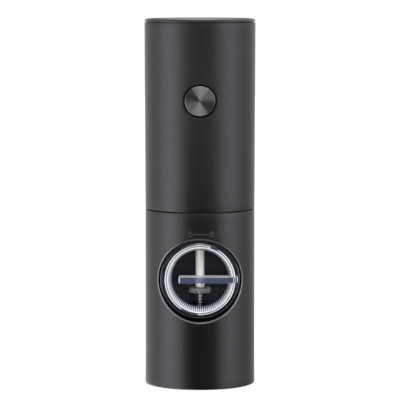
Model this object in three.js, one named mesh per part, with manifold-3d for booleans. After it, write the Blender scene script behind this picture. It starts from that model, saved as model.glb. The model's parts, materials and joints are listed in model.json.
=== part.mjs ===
// Battery pepper mill: two matt black cylinders on one axis. The lower one holds the pepper, a refill port
// with a clear bayonet lid, and a ceramic burr set. The upper one lifts off and holds a planetary motor
// drive, a thumb button, and a battery pack that comes out with the top cap.
// Millimetres, +Z up, origin at the middle of the foot, the port and the button face -Y.
import * as THREE from 'three';
import * as BufferGeometryUtils from 'three/addons/utils/BufferGeometryUtils.js';
import Module from 'manifold-3d';

const wasm = await Module();
wasm.setup();

// ---------------------------------------------------------------- driving dimensions
const ROUND = 40; // facets of the housings and the lid
const INNER_ROUND = 24; // facets of a round inside
const SMALL_ROUND = 14; // facets of a small one
const GAP = 0.3; // between neighbouring pieces that don't move on each other
const OVERLAP = 0.5; // of two solids that are joined into one piece, or of a cut past a face
const BEYOND = 40; // further out than any piece
const HEIGHT = 183;
const SEAM = 88; // height of the joint between the two halves

const shell = {
  footRadius: 27.45, // lower housing at the table
  waistRadius: 27.4, // both housings at the seam
  topRadius: 27.7, // upper housing under the cap
  lowerBore: 24.7,
  upperBoreBottom: 24.8,
  upperBoreTop: 25.25,
  footRound: 1,
  footLip: { radius: 23.6, height: 2.6 },
  seamGap: 0.25, // half of the line between the housings
};

const port = {
  height: 54.2, // of the port's axis
  hole: 20.8, // round hole in the lower housing
  flatFront: 13.8, // distance of the chamber's flat wall from the mill's axis
  flatBack: 12,
};

const chamber = {
  bottom: 30.8,
  pocketFloor: 33,
  funnelTop: 45,
  top: 76.8,
  radius: 24.2,
  bore: 22.6,
  outlet: 11.9,
  portBore: 17.9,
};
const chamberLid = { bottom: 77.1, top: 79.6, bore: 4.3 };

const lidSize = {
  wallRadius: 17.5,
  bore: 15.75,
  window: 14.1,
  flangeRadius: 18.7,
  floorBack: 11.5, // distances from the mill's axis, outwards
  floorFront: 13.5,
  bevelFront: 16.5,
  flangeBack: 17.4,
  flangeFront: 18.4,
  rim: 21.7,
  rimRound: 0.45,
  ribFront: 23,
  ribThickness: 3,
  ribLeft: -10.6,
  ribRight: 18.6,
};
const lugs = {
  count: 2,
  radius: 18.5,
  back: 14.1,
  front: 14.9,
  width: 24,
  slotWidth: 29,
  at: 68,
  openTurn: 30,
};
const bayonet = {
  radius: 19.7,
  mouth: 19.05,
  throat: 17.85,
  track: 18.9,
  shoulderBack: 15.2,
  shoulderFront: 16,
};
const seal = { ringRadius: 18.18, radius: 0.45, distance: 16.7 };

const shaft = { radius: 1.5, bore: 1.58, bottom: 4.2, top: 86 };
const bush = { radius: 4, bottom: 76.6, flangeRadius: 5.6, flangeBottom: 79.9, top: 80.9 };
const sleeve = { radius: 2.2, bottom: 48.3, top: 76.3 };
const collar = { radius: 5.5, bottom: 45.5, top: 48, chamfer: 0.6 };
const drive = { acrossFlats: 6.2, socketFlats: 6.8, headBottom: 81.3, headTop: 90.3, bore: 1.8 };
const burrSpring = { radius: 2.2, wire: 0.25, bottom: 38.8, top: 45.1, turns: 4 };

const burr = { flutes: 20, outerRadius: 16, outerBottom: 12.4, outerTop: 29.8 };
const cone = {
  profile: [[12, 12], [11.2, 15], [8, 24], [4.2, 30], [2.8, 38]], // [radius, height]
  depth: 0.7,
  twist: 2, // degrees for each millimetre of height
};
const cavity = { profile: [[13.2, 11.5], [12.6, 16], [12.3, 22], [12.3, 31]], depth: 0.6, twist: -2 };
const knob = { bottom: 3.4, top: 7, bossRadius: 4, bossTop: 11.6, radius: 8.4, lobes: 8, lobeDepth: 0.7 };
const grinderCase = {
  lip: 14.5,
  bore: 16.3,
  radius: 20.8,
  flange: 24.2,
  bottom: 10.5,
  lipTop: 12.1,
  flangeTop: 13,
  top: 30.5,
};
const base = { bore: 14, skirtBore: 23, radius: 24.3, bottom: 3, plateBottom: 7.5, top: 10.2 };
const baseScrews = {
  orbit: 18.4,
  angles: [30, 150, 270],
  headFrom: 5.8,
  headTo: 7.2,
  shankTo: 16,
  hole: 1.6,
};

const chassis = {
  bore: 5.8,
  floorBottom: 88.6,
  floorTop: 91,
  spigotRadius: 24.4,
  spigotBore: 22.8,
  spigotBottom: 81.8,
};
const posts = { radius: 2.3, top: 129, hole: 1.5, holeBottom: 123 };
const bracketScrews = {
  orbit: 20.3,
  angles: [90, 210, 330],
  headFrom: 132.7,
  headTo: 131.3,
  shankTo: 124,
  hole: 1.6,
};
const screwSize = { headRadius: 2.5, shankRadius: 1.1 };

const gears = { module: 0.5, sun: 12, planet: 18, ring: 48, planets: 3 };
const toothForm = { addendum: 0.8, dedendum: 1.15, thickness: 0.8, tipShare: 0.45, rootShare: 1.5 };
const planetOrbit = (gears.module * (gears.sun + gears.planet)) / 2;
const gearbox = {
  bottom: 91.3,
  floor: 92.8,
  bore: 14.4,
  radius: 15.8,
  ringBottom: 93.1,
  ringTop: 102.7,
  coverTop: 104.9,
};
const stageTwo = { plateBottom: 93.2, plateTop: 94.3, gearBottom: 94.6, gearTop: 97.8, pinTop: 98 };
const stageOne = { plateBottom: 98.3, plateTop: 99.3, gearBottom: 99.6, gearTop: 102.2, pinTop: 102.3 };
const carrier = { radius: 9.6, pin: 1, pinPlay: 0.1, hubRadius: 5.3, hubBottom: 82.5 };
const pinionBore = 1.2;
const motor = { bottom: 105.2, top: 127.5, radius: 12.2, wall: 0.8, opening: 1.6 };
const magnet = { bore: 9, bottom: 107, top: 122 };
const armature = { poles: 3, poleRadius: 8.2, slotRadius: 4.4, bottom: 108, top: 121 };
const armatureShaft = { radius: 1, bottom: 99.7, top: 126.6 };
const endCap = { bottom: 124.6, top: 127.4 };
const bracket = { bottom: 129.3, top: 131, radius: 24, bore: 3 };

const button = {
  height: 143,
  hole: 8.4,
  capRadius: 7.45,
  face: 26.75, // distances from the mill's axis, outwards
  capBack: 24.9,
  flangeFront: 22.9,
  flangeBack: 21.9,
  stemBack: 21.4,
  boardFront: 18.2,
  boardBack: 17.2,
};
const board = { halfWidth: 7, halfHeight: 7.5 };
const tact = { half: 3, depth: 2, clickRadius: 1.6, clickFront: 20.3 };
const holder = { radius: 11.6, bore: 10.6, front: 20.6 };
const buttonSpring = { radius: 6.2, wire: 0.25, back: 19.9, front: 21.5, turns: 1.5 };
const plunger = { stem: 2.5, flange: 9.3, neck: 7.1 };
const leads = { radius: 0.5, boardHeight: 136.9, xs: [-4, -6.4] };

const cell = { radius: 5.2, length: 44.5, bottom: 134.9, orbit: 7.9, count: 4, noseRadius: 1.9, nose: 0.9 };
const packPlate = { radius: 15, thickness: 1.5, post: 2.2 };
const bay = { radius: 16.6, bore: 15.4, top: 175.5, contactRadius: 5, contact: 0.6 };
const cap = { plateBottom: 181.5, chamfer: 0.9, skirtRadius: 24.9, skirtBore: 23.2, skirtBottom: 176 };

// ---------------------------------------------------------------- materials
const material = (color, roughness, metalness = 0, opacity = 1) =>
  new THREE.MeshStandardMaterial({ color, roughness, metalness, opacity, transparent: opacity < 1 });

const softBlack = material(0x1c1c1e, 0.55);
const innerBlack = material(0x121214, 0.5);
const spunMetal = material(0x8b8b90, 0.3, 0.9);
const clearPlastic = material(0xd6dee8, 0.08, 0, 0.4);
const siliconeRubber = material(0x9a9c9c, 0.7);
const creamPlastic = material(0xcfcac2, 0.45);
const hazyPlastic = material(0x8b8e8a, 0.35, 0, 0.7);
const ceramic = material(0xe9e4da, 0.6);
const steel = material(0xa8aab0, 0.3, 1);
const brass = material(0xc9a14a, 0.35, 1);
const nylon = material(0xdedcd2, 0.5);
const boardGreen = material(0x1f5a38, 0.5);
const magnetGrey = material(0x3a3a3d, 0.6);
const copper = material(0xb5683c, 0.4, 0.8);
const cellWrap = material(0x3f6f86, 0.35);
const redWire = material(0xa82a22, 0.5);
const blackWire = material(0x161616, 0.5);

// ---------------------------------------------------------------- solids
const radians = THREE.MathUtils.degToRad;

/** Signed volume of an indexed triangle list, positive when its faces point out. */
function signedVolume(positions, triangles) {
  const [a, b, c] = [new THREE.Vector3(), new THREE.Vector3(), new THREE.Vector3()];
  let volume = 0;
  for (let i = 0; i < triangles.length; i += 3) {
    a.fromArray(positions, 3 * triangles[i]);
    b.fromArray(positions, 3 * triangles[i + 1]);
    c.fromArray(positions, 3 * triangles[i + 2]);
    volume += a.dot(b.cross(c)) / 6;
  }
  return volume;
}

/** A solid for joining and cutting, made from a closed three.js geometry. */
function solid(geometry) {
  geometry.deleteAttribute('normal');
  geometry.deleteAttribute('uv');
  const welded = BufferGeometryUtils.mergeVertices(geometry);
  const positions = welded.attributes.position.array;
  const triangles = [];
  for (let i = 0; i < welded.index.count; i += 3) {
    const [a, b, c] = [0, 1, 2].map((k) => welded.index.array[i + k]);
    if (a !== b && b !== c && c !== a) triangles.push(a, b, c);
  }
  if (signedVolume(positions, triangles) < 0) triangles.reverse();
  return new wasm.Manifold(
    new wasm.Mesh({ numProp: 3, vertProperties: positions, triVerts: Uint32Array.from(triangles) }),
  );
}

/** A named mesh from a solid. */
function part(name, body, finish) {
  const { vertProperties, triVerts } = body.getMesh();
  const geometry = new THREE.BufferGeometry();
  geometry.setAttribute('position', new THREE.BufferAttribute(vertProperties, 3));
  geometry.setIndex(new THREE.BufferAttribute(triVerts, 1));
  geometry.computeVertexNormals();
  const mesh = new THREE.Mesh(geometry, finish);
  mesh.name = name;
  return mesh;
}

/** Turned about Z from a closed outline of [radius, height] corners. */
function turnedGeometry(outline, facets = INNER_ROUND) {
  const points = [...outline, outline[0]].map(([r, z]) => new THREE.Vector2(r, z));
  return new THREE.LatheGeometry(points, facets).rotateX(Math.PI / 2);
}
const turned = (outline, facets) => solid(turnedGeometry(outline, facets));

/** Points of an arc of the given radius about [r, z], from one angle to another in degrees. */
function arc(r, z, radius, from, to, steps = 3) {
  return Array.from({ length: steps + 1 }, (_, i) => {
    const angle = radians(from + ((to - from) * i) / steps);
    return [r + radius * Math.cos(angle), z + radius * Math.sin(angle)];
  });
}

/** A tube or washer about Z. A bore of 0 makes it a plain rod. */
const ring = (radius, bore, bottom, top, facets) =>
  turned([[bore, bottom], [radius, bottom], [radius, top], [bore, top]], facets);
const rod = (radius, bottom, top, facets = SMALL_ROUND) => ring(radius, 0, bottom, top, facets);

/** A rod about Z standing at an angle on a circle. */
function rodOnCircle(radius, bottom, top, orbit, degrees, facets = SMALL_ROUND) {
  const outline = [[0, bottom], [radius, bottom], [radius, top], [0, top]];
  const place = new THREE.Vector3(orbit, 0, 0).applyAxisAngle(new THREE.Vector3(0, 0, 1), radians(degrees));
  return solid(turnedGeometry(outline, facets).translate(place.x, place.y, 0));
}

/** A rod whose axis runs out of the front of the mill at a height, between two distances from its axis. */
function frontRod(radius, height, back, front, facets = INNER_ROUND) {
  const outline = [[0, back], [radius, back], [radius, front], [0, front]];
  return solid(turnedGeometry(outline, facets).rotateX(Math.PI / 2).translate(0, 0, height));
}

function block([x0, y0, z0], [x1, y1, z1]) {
  const geometry = new THREE.BoxGeometry(x1 - x0, y1 - y0, z1 - z0);
  return solid(geometry.translate((x0 + x1) / 2, (y0 + y1) / 2, (z0 + z1) / 2));
}

/** A prism along Z over a list of [x, y] corners, with holes as further lists. */
function prism(corners, bottom, top, holes = []) {
  const outline = (list) => list.map(([x, y]) => new THREE.Vector2(x, y));
  const shape = new THREE.Shape(outline(corners));
  for (const hole of holes) shape.holes.push(new THREE.Path(outline(hole)));
  const geometry = new THREE.ExtrudeGeometry(shape, { depth: top - bottom, bevelEnabled: false });
  return solid(geometry.translate(0, 0, bottom));
}

const circle = (radius, count, x = 0, y = 0) => arc(x, y, radius, 0, 360 - 360 / count, count - 1);
const hexagon = (acrossFlats) => circle(acrossFlats / Math.sqrt(3), 6);

/** A round wire or lead along a curve. */
function wire(curve, radius, steps, sides) {
  const section = new THREE.Shape(circle(radius, sides).map(([x, y]) => new THREE.Vector2(x, y)));
  return solid(new THREE.ExtrudeGeometry(section, { steps, extrudePath: curve, bevelEnabled: false }));
}

/** The centreline of a compression spring about Z. */
class Helix extends THREE.Curve {
  constructor(radius, bottom, top, turns) {
    super();
    Object.assign(this, { radius, bottom, top, turns });
  }
  getPoint(t, target = new THREE.Vector3()) {
    const angle = 2 * Math.PI * this.turns * t;
    const z = this.bottom + (this.top - this.bottom) * t;
    return target.set(this.radius * Math.cos(angle), this.radius * Math.sin(angle), z);
  }
}

/** A piece laid out on the +X side of the axis, turned to its angle round the mill. */
function atAngle(degrees, mesh) {
  const arm = new THREE.Group();
  arm.rotation.z = radians(degrees);
  arm.add(mesh);
  return arm;
}

/** Cuts one screw hole for each screw of a circle of screws. */
function drill(body, { orbit, angles }, radius, bottom, top) {
  const holes = angles.map((at) => rodOnCircle(radius, bottom, top, orbit, at, 8));
  return holes.reduce((left, hole) => left.subtract(hole), body);
}

/** A circle of round-headed screws along Z, each head from one height to another and its shank beyond. */
function screws(prefix, { orbit, angles, headFrom, headTo, shankTo }) {
  const into = 0.2; // how far the shank starts inside the head
  const { headRadius, shankRadius } = screwSize;
  return angles.map((at, i) => {
    const head = rod(headRadius, Math.min(headFrom, headTo), Math.max(headFrom, headTo), 12);
    const shankEnds = [Math.min(headTo, shankTo) - into, Math.max(headTo, shankTo) + into];
    const mesh = part(`${prefix}_${i + 1}`, head.add(rod(shankRadius, ...shankEnds, 8)), steel);
    mesh.position.x = orbit;
    return atAngle(at, mesh);
  });
}

// ---------------------------------------------------------------- gears
/** Corners of a gear. A tooth is centred on the angle 0, or a space if turned by half a pitch. */
function gearCorners(teeth, turn = 0, internal = false) {
  const pitchRadius = (gears.module * teeth) / 2;
  const side = internal ? -1 : 1;
  const tip = pitchRadius + side * toothForm.addendum * gears.module;
  const root = pitchRadius - side * toothForm.dedendum * gears.module;
  const half = (90 / teeth) * toothForm.thickness;
  return Array.from({ length: teeth }, (_, i) => {
    const middle = turn + (360 * i) / teeth;
    const corners = [
      [root, middle - half * toothForm.rootShare],
      [tip, middle - half * toothForm.tipShare],
      [tip, middle + half * toothForm.tipShare],
      [root, middle + half * toothForm.rootShare],
    ];
    return corners.map(([r, a]) => [r * Math.cos(radians(a)), r * Math.sin(radians(a))]);
  }).flat();
}

/** The planets of one stage, each placed on its own pin so that it can turn there. */
function planetGears(prefix, { gearBottom, gearTop }) {
  const bore = circle(carrier.pin + carrier.pinPlay, 10);
  const corners = gearCorners(gears.planet, 180 / gears.planet);
  return ['a', 'b', 'c'].map((letter, k) => {
    const gear = part(`${prefix}_${letter}`, prism(corners, gearBottom, gearTop, [bore]), nylon);
    gear.position.x = planetOrbit;
    return atAngle((360 * k) / gears.planets, gear);
  });
}

/** A planet carrier's plate with its three pins. */
function carrierPlate({ plateBottom, plateTop, pinTop }) {
  let body = rod(carrier.radius, plateBottom, plateTop, INNER_ROUND);
  for (let k = 0; k < gears.planets; k += 1) {
    const at = (360 * k) / gears.planets;
    body = body.add(rodOnCircle(carrier.pin, plateTop - OVERLAP, pinTop, planetOrbit, at, 8));
  }
  return body;
}

function gearTrain() {
  const hub = rod(carrier.hubRadius, carrier.hubBottom, stageTwo.plateBottom + OVERLAP, 20);
  const socket = prism(hexagon(drive.socketFlats), carrier.hubBottom - OVERLAP, drive.headTop + 0.7);
  const sunTwo = prism(gearCorners(gears.sun), stageTwo.gearBottom, stageOne.plateBottom + OVERLAP);
  const pinionTop = stageOne.gearTop + 0.2;
  const pinion = prism(gearCorners(gears.sun), stageOne.gearBottom, pinionTop, [circle(pinionBore, 8)]);
  return [
    part('output_carrier', carrierPlate(stageTwo).add(hub).subtract(socket), nylon),
    ...planetGears('output_planet', stageTwo),
    part('first_carrier', carrierPlate(stageOne).add(sunTwo), nylon),
    ...planetGears('first_planet', stageOne),
    part('motor_pinion', pinion, brass),
  ];
}

// ---------------------------------------------------------------- lower half
function lowerHousing() {
  const { footRadius, waistRadius, lowerBore, footRound, footLip, seamGap } = shell;
  const top = SEAM - seamGap;
  const outline = [
    [footLip.radius, 0],
    ...arc(footRadius - footRound, footRound, footRound, -90, 0, 2),
    [waistRadius, top],
    [lowerBore, top],
    [lowerBore, footLip.height],
    [footLip.radius, footLip.height],
  ];
  const portHole = frontRod(port.hole, port.height, 4, BEYOND, ROUND);
  return part('lower_housing', turned(outline, ROUND).subtract(portHole), softBlack);
}

/** The pepper container: a round cup with a funnel floor, and a flat wall at the front for the port. */
function pepperChamber() {
  const { bottom, pocketFloor, funnelTop, top, radius, bore, outlet, portBore } = chamber;
  const cup = turned([
    [outlet, bottom],
    [radius, bottom],
    [radius, top],
    [bore, top],
    [bore, funnelTop],
    [outlet, pocketFloor],
  ]);
  const pocket = block([-BEYOND, -BEYOND, pocketFloor], [BEYOND, -port.flatFront, 2 * BEYOND]);
  const slab = block([-BEYOND, -port.flatFront, bottom + OVERLAP], [BEYOND, -port.flatBack, top]);
  const flatWall = slab.intersect(rod(radius, bottom, top, INNER_ROUND));
  const mouth = frontRod(portBore, port.height, 5, BEYOND, ROUND);
  return part('pepper_chamber', cup.subtract(pocket).add(flatWall).subtract(mouth), innerBlack);
}

function chamberTop() {
  const { bore, bottom, top } = chamberLid;
  return part('chamber_top', ring(chamber.radius, bore, bottom, top), innerBlack);
}

/** The bush that the drive shaft turns in, with its flange on top. */
function shaftBush() {
  const outline = [
    [shaft.bore, bush.bottom],
    [bush.radius, bush.bottom],
    [bush.radius, bush.flangeBottom],
    [bush.flangeRadius, bush.flangeBottom],
    [bush.flangeRadius, bush.top],
    [shaft.bore, bush.top],
  ];
  return part('shaft_bush', turned(outline, SMALL_ROUND), brass);
}

/** A sector-shaped block between two radii, for bayonet lugs and the slots that they pass. */
function sector(inner, outer, width, at, bottom, top) {
  const edge = (radius, from, to) => arc(0, 0, radius, from, to, 2);
  const [from, to] = [at - width / 2, at + width / 2];
  return prism([...edge(outer, from, to), ...edge(inner, to, from)], bottom, top);
}

/** The black ring around the port. The lid's lugs turn behind its shoulder. */
function bayonetRing() {
  const { radius, mouth, throat, track, shoulderBack, shoulderFront } = bayonet;
  let body = turned([
    [radius, lugs.back],
    [radius, lidSize.flangeFront],
    [mouth, lidSize.flangeFront],
    [mouth, shoulderFront],
    [throat, shoulderFront],
    [throat, shoulderBack],
    [track, shoulderBack],
    [track, lugs.back],
  ], ROUND);
  for (let k = 0; k < lugs.count; k += 1) {
    const at = lugs.at + lugs.openTurn + (360 * k) / lugs.count;
    const [bottom, top] = [shoulderBack - OVERLAP, shoulderFront + OVERLAP];
    body = body.subtract(sector(throat - 0.85, lugs.radius + GAP, lugs.slotWidth, at, bottom, top));
  }
  return part('bayonet_ring', body, innerBlack);
}

function lidSeal() {
  const section = arc(seal.ringRadius, seal.distance, seal.radius, 0, 300, 5);
  return part('lid_seal', turned(section), siliconeRubber);
}

/** The finger rib that crosses the lid, seen from the side as [sideways, outwards] corners. */
function lidRib() {
  const { bore, floorFront, flangeFront, rim, ribFront, ribThickness, ribLeft, ribRight } = lidSize;
  const [root, step, inRim] = [floorFront - OVERLAP, flangeFront - 0.4, bore + 0.6];
  const corners = [
    [ribLeft, root],
    [ribLeft, ribFront - 1],
    [ribLeft + 1, ribFront],
    [bore - 3, ribFront],
    [ribRight, rim - 1],
    [ribRight, step],
    [inRim, step],
    [inRim, root],
  ];
  const side = new THREE.Shape(corners.map(([x, out]) => new THREE.Vector2(x, out)));
  const rib = new THREE.ExtrudeGeometry(side, { depth: ribThickness, bevelEnabled: false });
  return solid(rib.translate(0, 0, -ribThickness / 2).rotateX(Math.PI / 2));
}

/** The clear refill lid: a cup with a flat window, a flange, lugs, and a finger rib across it. */
function refillLid() {
  const { wallRadius, bore, window, flangeRadius, floorBack, floorFront, bevelFront } = lidSize;
  const { flangeBack, flangeFront, rim, rimRound } = lidSize;
  let body = turned([
    [0, floorBack],
    [wallRadius, floorBack],
    [wallRadius, flangeBack],
    [flangeRadius, flangeBack],
    [flangeRadius, flangeFront],
    [wallRadius, flangeFront],
    ...arc(wallRadius - rimRound, rim - rimRound, rimRound, 0, 90, 2),
    ...arc(bore + rimRound, rim - rimRound, rimRound, 90, 180, 2),
    [bore, bevelFront],
    [window, floorFront],
    [0, floorFront],
  ], ROUND);
  for (let k = 0; k < lugs.count; k += 1) {
    const at = lugs.at + (360 * k) / lugs.count;
    body = body.add(sector(wallRadius - OVERLAP, lugs.radius, lugs.width, at, lugs.back, lugs.front));
  }
  return part('lid', body.add(lidRib()), clearPlastic);
}

// ---------------------------------------------------------------- grinder
/** A solid with pointed flutes round it. Its radius follows the profile, and it twists as it rises. */
function fluted({ profile, depth, twist }) {
  const points = burr.flutes * 2;
  const steps = profile.length - 1;
  const unit = new THREE.Shape(circle(1, points).map(([x, y]) => new THREE.Vector2(x, y)));
  const geometry = new THREE.ExtrudeGeometry(unit, { depth: steps, steps, bevelEnabled: false });
  const position = geometry.attributes.position;
  for (let i = 0; i < position.count; i += 1) {
    const [radius, height] = profile[Math.round(position.getZ(i))];
    const angle = Math.atan2(position.getY(i), position.getX(i));
    const index = Math.round((angle * points) / (2 * Math.PI)) + points;
    const reach = index % 2 ? radius - depth : radius;
    const turn = angle + radians(twist * (height - profile[0][1]));
    position.setXYZ(i, reach * Math.cos(turn), reach * Math.sin(turn), height);
  }
  return solid(geometry);
}

function innerBurr() {
  const heights = cone.profile.map(([, height]) => height);
  const bore = rod(shaft.bore, Math.min(...heights) - 1, Math.max(...heights) + 1);
  return part('inner_burr', fluted(cone).subtract(bore), ceramic);
}

function outerBurr() {
  const body = rod(burr.outerRadius, burr.outerBottom, burr.outerTop, INNER_ROUND);
  return part('outer_burr', body.subtract(fluted(cavity)), ceramic);
}

/** The socket that holds the outer burr, with a flange for the base's screws. */
function grinderHousing() {
  const { lip, bore, radius, flange, bottom, lipTop, flangeTop, top } = grinderCase;
  const body = turned([
    [lip, bottom],
    [flange, bottom],
    [flange, flangeTop],
    [radius, flangeTop],
    [radius, top],
    [bore, top],
    [bore, lipTop],
    [lip, lipTop],
  ]);
  const holeTop = baseScrews.shankTo + 0.6;
  return part('grinder_housing', drill(body, baseScrews, posts.hole, bottom - 1, holeTop), innerBlack);
}

function baseRing() {
  const { bore, skirtBore, radius, bottom, plateBottom, top } = base;
  const body = turned([
    [bore, plateBottom],
    [skirtBore, plateBottom],
    [skirtBore, bottom],
    [radius, bottom],
    [radius, top],
    [bore, top],
  ]);
  return part('base_ring', drill(body, baseScrews, baseScrews.hole, plateBottom - 1, top + 1), innerBlack);
}

/** The grind adjuster under the burr: a lobed nut on the shaft's threaded end. */
function adjustKnob() {
  const { bottom, top, bossRadius, bossTop, radius, lobes, lobeDepth } = knob;
  const points = lobes * 6;
  const corners = Array.from({ length: points }, (_, i) => {
    const angle = (2 * Math.PI * i) / points;
    const reach = radius - lobeDepth + lobeDepth * Math.cos(lobes * angle);
    return [reach * Math.cos(angle), reach * Math.sin(angle)];
  });
  const body = prism(corners, bottom, top).add(rod(bossRadius, top - OVERLAP, bossTop));
  return part('adjust_knob', body.subtract(rod(shaft.bore, bottom - 1, bossTop + 1)), innerBlack);
}

/** The disc under the sleeve that keeps the chamber's outlet moving, with its rim chamfered below. */
function shaftCollar() {
  const { radius, bottom, top, chamfer } = collar;
  const outline = [
    [shaft.bore, bottom],
    [radius - chamfer, bottom],
    [radius, bottom + chamfer],
    [radius, top],
    [shaft.bore, top],
  ];
  return part('shaft_collar', turned(outline), hazyPlastic);
}

function driveLine() {
  const head = prism(hexagon(drive.acrossFlats), drive.headBottom, drive.headTop);
  const headBore = rod(drive.bore, drive.headBottom - 1, shaft.top + GAP);
  const tube = ring(sleeve.radius, shaft.bore, sleeve.bottom, sleeve.top, SMALL_ROUND);
  const spring = new Helix(burrSpring.radius, burrSpring.bottom, burrSpring.top, burrSpring.turns);
  return [
    part('drive_shaft', rod(shaft.radius, shaft.bottom, shaft.top), steel),
    part('drive_head', head.subtract(headBore), nylon),
    part('shaft_sleeve', tube, creamPlastic),
    shaftCollar(),
    part('burr_spring', wire(spring, burrSpring.wire, 27, 5), steel),
    innerBurr(),
    adjustKnob(),
  ];
}

// ---------------------------------------------------------------- upper half
function upperHousing() {
  const { waistRadius, topRadius, upperBoreBottom, upperBoreTop, seamGap } = shell;
  const [bottom, top] = [SEAM + seamGap, cap.plateBottom - 0.35];
  const outline = [[upperBoreBottom, bottom], [waistRadius, bottom], [topRadius, top], [upperBoreTop, top]];
  const buttonHole = frontRod(button.hole, button.height, 10, BEYOND);
  return part('upper_housing', turned(outline, ROUND).subtract(buttonHole), softBlack);
}

/** The upper half's floor, with the spigot that plugs into the lower half and three posts. */
function chassisFloor() {
  const { bore, floorBottom, floorTop, spigotRadius, spigotBore, spigotBottom } = chassis;
  let body = turned([
    [bore, floorBottom],
    [spigotBore, floorBottom],
    [spigotBore, spigotBottom],
    [spigotRadius, spigotBottom],
    [spigotRadius, floorTop],
    [bore, floorTop],
  ]);
  const { orbit, angles } = bracketScrews;
  for (const at of angles) {
    body = body.add(rodOnCircle(posts.radius, floorTop - 1, posts.top, orbit, at, 10));
  }
  return part('chassis', drill(body, bracketScrews, posts.hole, posts.holeBottom, posts.top + 1), innerBlack);
}

function gearboxShell() {
  const { bottom, floor, bore, radius, ringBottom, ringTop, coverTop } = gearbox;
  const wall = ringTop + GAP;
  const hubBore = carrier.hubRadius + 0.4;
  const cup = [
    [hubBore, bottom],
    [radius, bottom],
    [radius, wall],
    [bore, wall],
    [bore, floor],
    [hubBore, floor],
  ];
  const teeth = gearCorners(gears.ring, 0, true);
  return [
    part('gearbox_case', turned(cup), innerBlack),
    part('ring_gear', prism(circle(bore - GAP, INNER_ROUND), ringBottom, ringTop, [teeth]), nylon),
    part('gearbox_cover', ring(radius, motor.opening - 0.1, wall + GAP, coverTop), innerBlack),
  ];
}

/** The motor: a steel can with a magnet ring, a three-pole armature, and a plastic end cap. */
function motorParts() {
  const { bottom, top, radius, wall, opening } = motor;
  const bore = radius - wall;
  const floor = bottom + wall;
  const can = [
    [opening, bottom],
    [radius, bottom],
    [radius, top],
    [bore, top],
    [bore, floor],
    [opening, floor],
  ];
  const slotBelow = -0.55; // of the cosine that runs once round each pole
  const poles = Array.from({ length: 36 }, (_, i) => {
    const angle = radians(10 * i);
    const reach = Math.cos(armature.poles * angle) > slotBelow ? armature.poleRadius : armature.slotRadius;
    return [reach * Math.cos(angle), reach * Math.sin(angle)];
  });
  const spindle = rod(armatureShaft.radius, armatureShaft.bottom, armatureShaft.top, 10);
  return [
    part('motor_can', turned(can, 28), steel),
    part('motor_magnet', ring(bore - GAP, magnet.bore, magnet.bottom, magnet.top, 28), magnetGrey),
    part('motor_end_cap', ring(bore - GAP, opening, endCap.bottom, endCap.top, 28), innerBlack),
    part('motor_armature', prism(poles, armature.bottom, armature.top).add(spindle), copper),
  ];
}

function motorBracket() {
  const { radius, bore, bottom, top } = bracket;
  const body = drill(ring(radius, bore, bottom, top), bracketScrews, bracketScrews.hole, bottom - 1, top + 1);
  const leadNotch = block([-9, -BEYOND, bottom - 1], [-2.6, -17.6, top + 1]);
  return part('motor_bracket', body.subtract(leadNotch), innerBlack);
}

/** The motor's two leads, from its end cap out through the bracket's notch and up to the switch board. */
function motorLeads() {
  const under = (motor.top + bracket.bottom) / 2 - 0.05;
  const route = (x) =>
    new THREE.CatmullRomCurve3([
      new THREE.Vector3(x + 3.5, -4, under),
      new THREE.Vector3(x + 2, -11, under),
      new THREE.Vector3(x, -17.5, under + 0.15),
      new THREE.Vector3(x, -20, under + 2.15),
      new THREE.Vector3(x, -19.8, leads.boardHeight - 3),
      new THREE.Vector3(x, -button.boardFront - 0.75, leads.boardHeight),
    ]);
  const [redX, blackX] = leads.xs;
  return [
    part('lead_red', wire(route(redX), leads.radius, 14, 5), redWire),
    part('lead_black', wire(route(blackX), leads.radius, 14, 5), blackWire),
  ];
}

function switchParts() {
  const { height, boardFront, boardBack } = button;
  const { half, depth, clickRadius, clickFront } = tact;
  const boardBlock = block(
    [-board.halfWidth, -boardFront, height - board.halfHeight],
    [board.halfWidth, -boardBack, height + board.halfHeight],
  );
  const click = frontRod(clickRadius, height, boardFront + depth - 0.2, clickFront, 10);
  const tactBlock = block(
    [-half, -boardFront - depth, height - half],
    [half, -boardFront - GAP, height + half],
  );
  const tube = frontRod(holder.radius, height, boardBack, holder.front);
  const holderRing = tube.subtract(frontRod(holder.bore, height, boardBack - 2, holder.front + 4));
  const leadGap = block([-10, -BEYOND, bracket.top], [0, -10, height - 3]);
  return [
    part('switch_holder', holderRing.subtract(leadGap), innerBlack),
    part('switch_board', boardBlock, boardGreen),
    part('tact_switch', tactBlock.add(click), innerBlack),
  ];
}

/** The thumb button, turned about its own axis, which points out of the front. */
function buttonParts() {
  const { capRadius, face, capBack, flangeFront, flangeBack, stemBack } = button;
  const chamfer = 0.3;
  const neckFront = capBack - 0.2;
  const capOutline = [
    [0, capBack],
    [capRadius, capBack],
    [capRadius, face - chamfer],
    [capRadius - chamfer, face],
    [0, face],
  ];
  const plungerOutline = [
    [0, stemBack],
    [plunger.stem, stemBack],
    [plunger.stem, flangeBack],
    [plunger.flange, flangeBack],
    [plunger.flange, flangeFront],
    [plunger.neck, flangeFront],
    [plunger.neck, neckFront],
    [0, neckFront],
  ];
  const spring = new Helix(buttonSpring.radius, buttonSpring.back, buttonSpring.front, buttonSpring.turns);
  return [
    part('button_cap', turned(capOutline), spunMetal),
    part('button_plunger', turned(plungerOutline), innerBlack),
    part('button_spring', wire(spring, buttonSpring.wire, 18, 5), steel),
  ];
}

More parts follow.
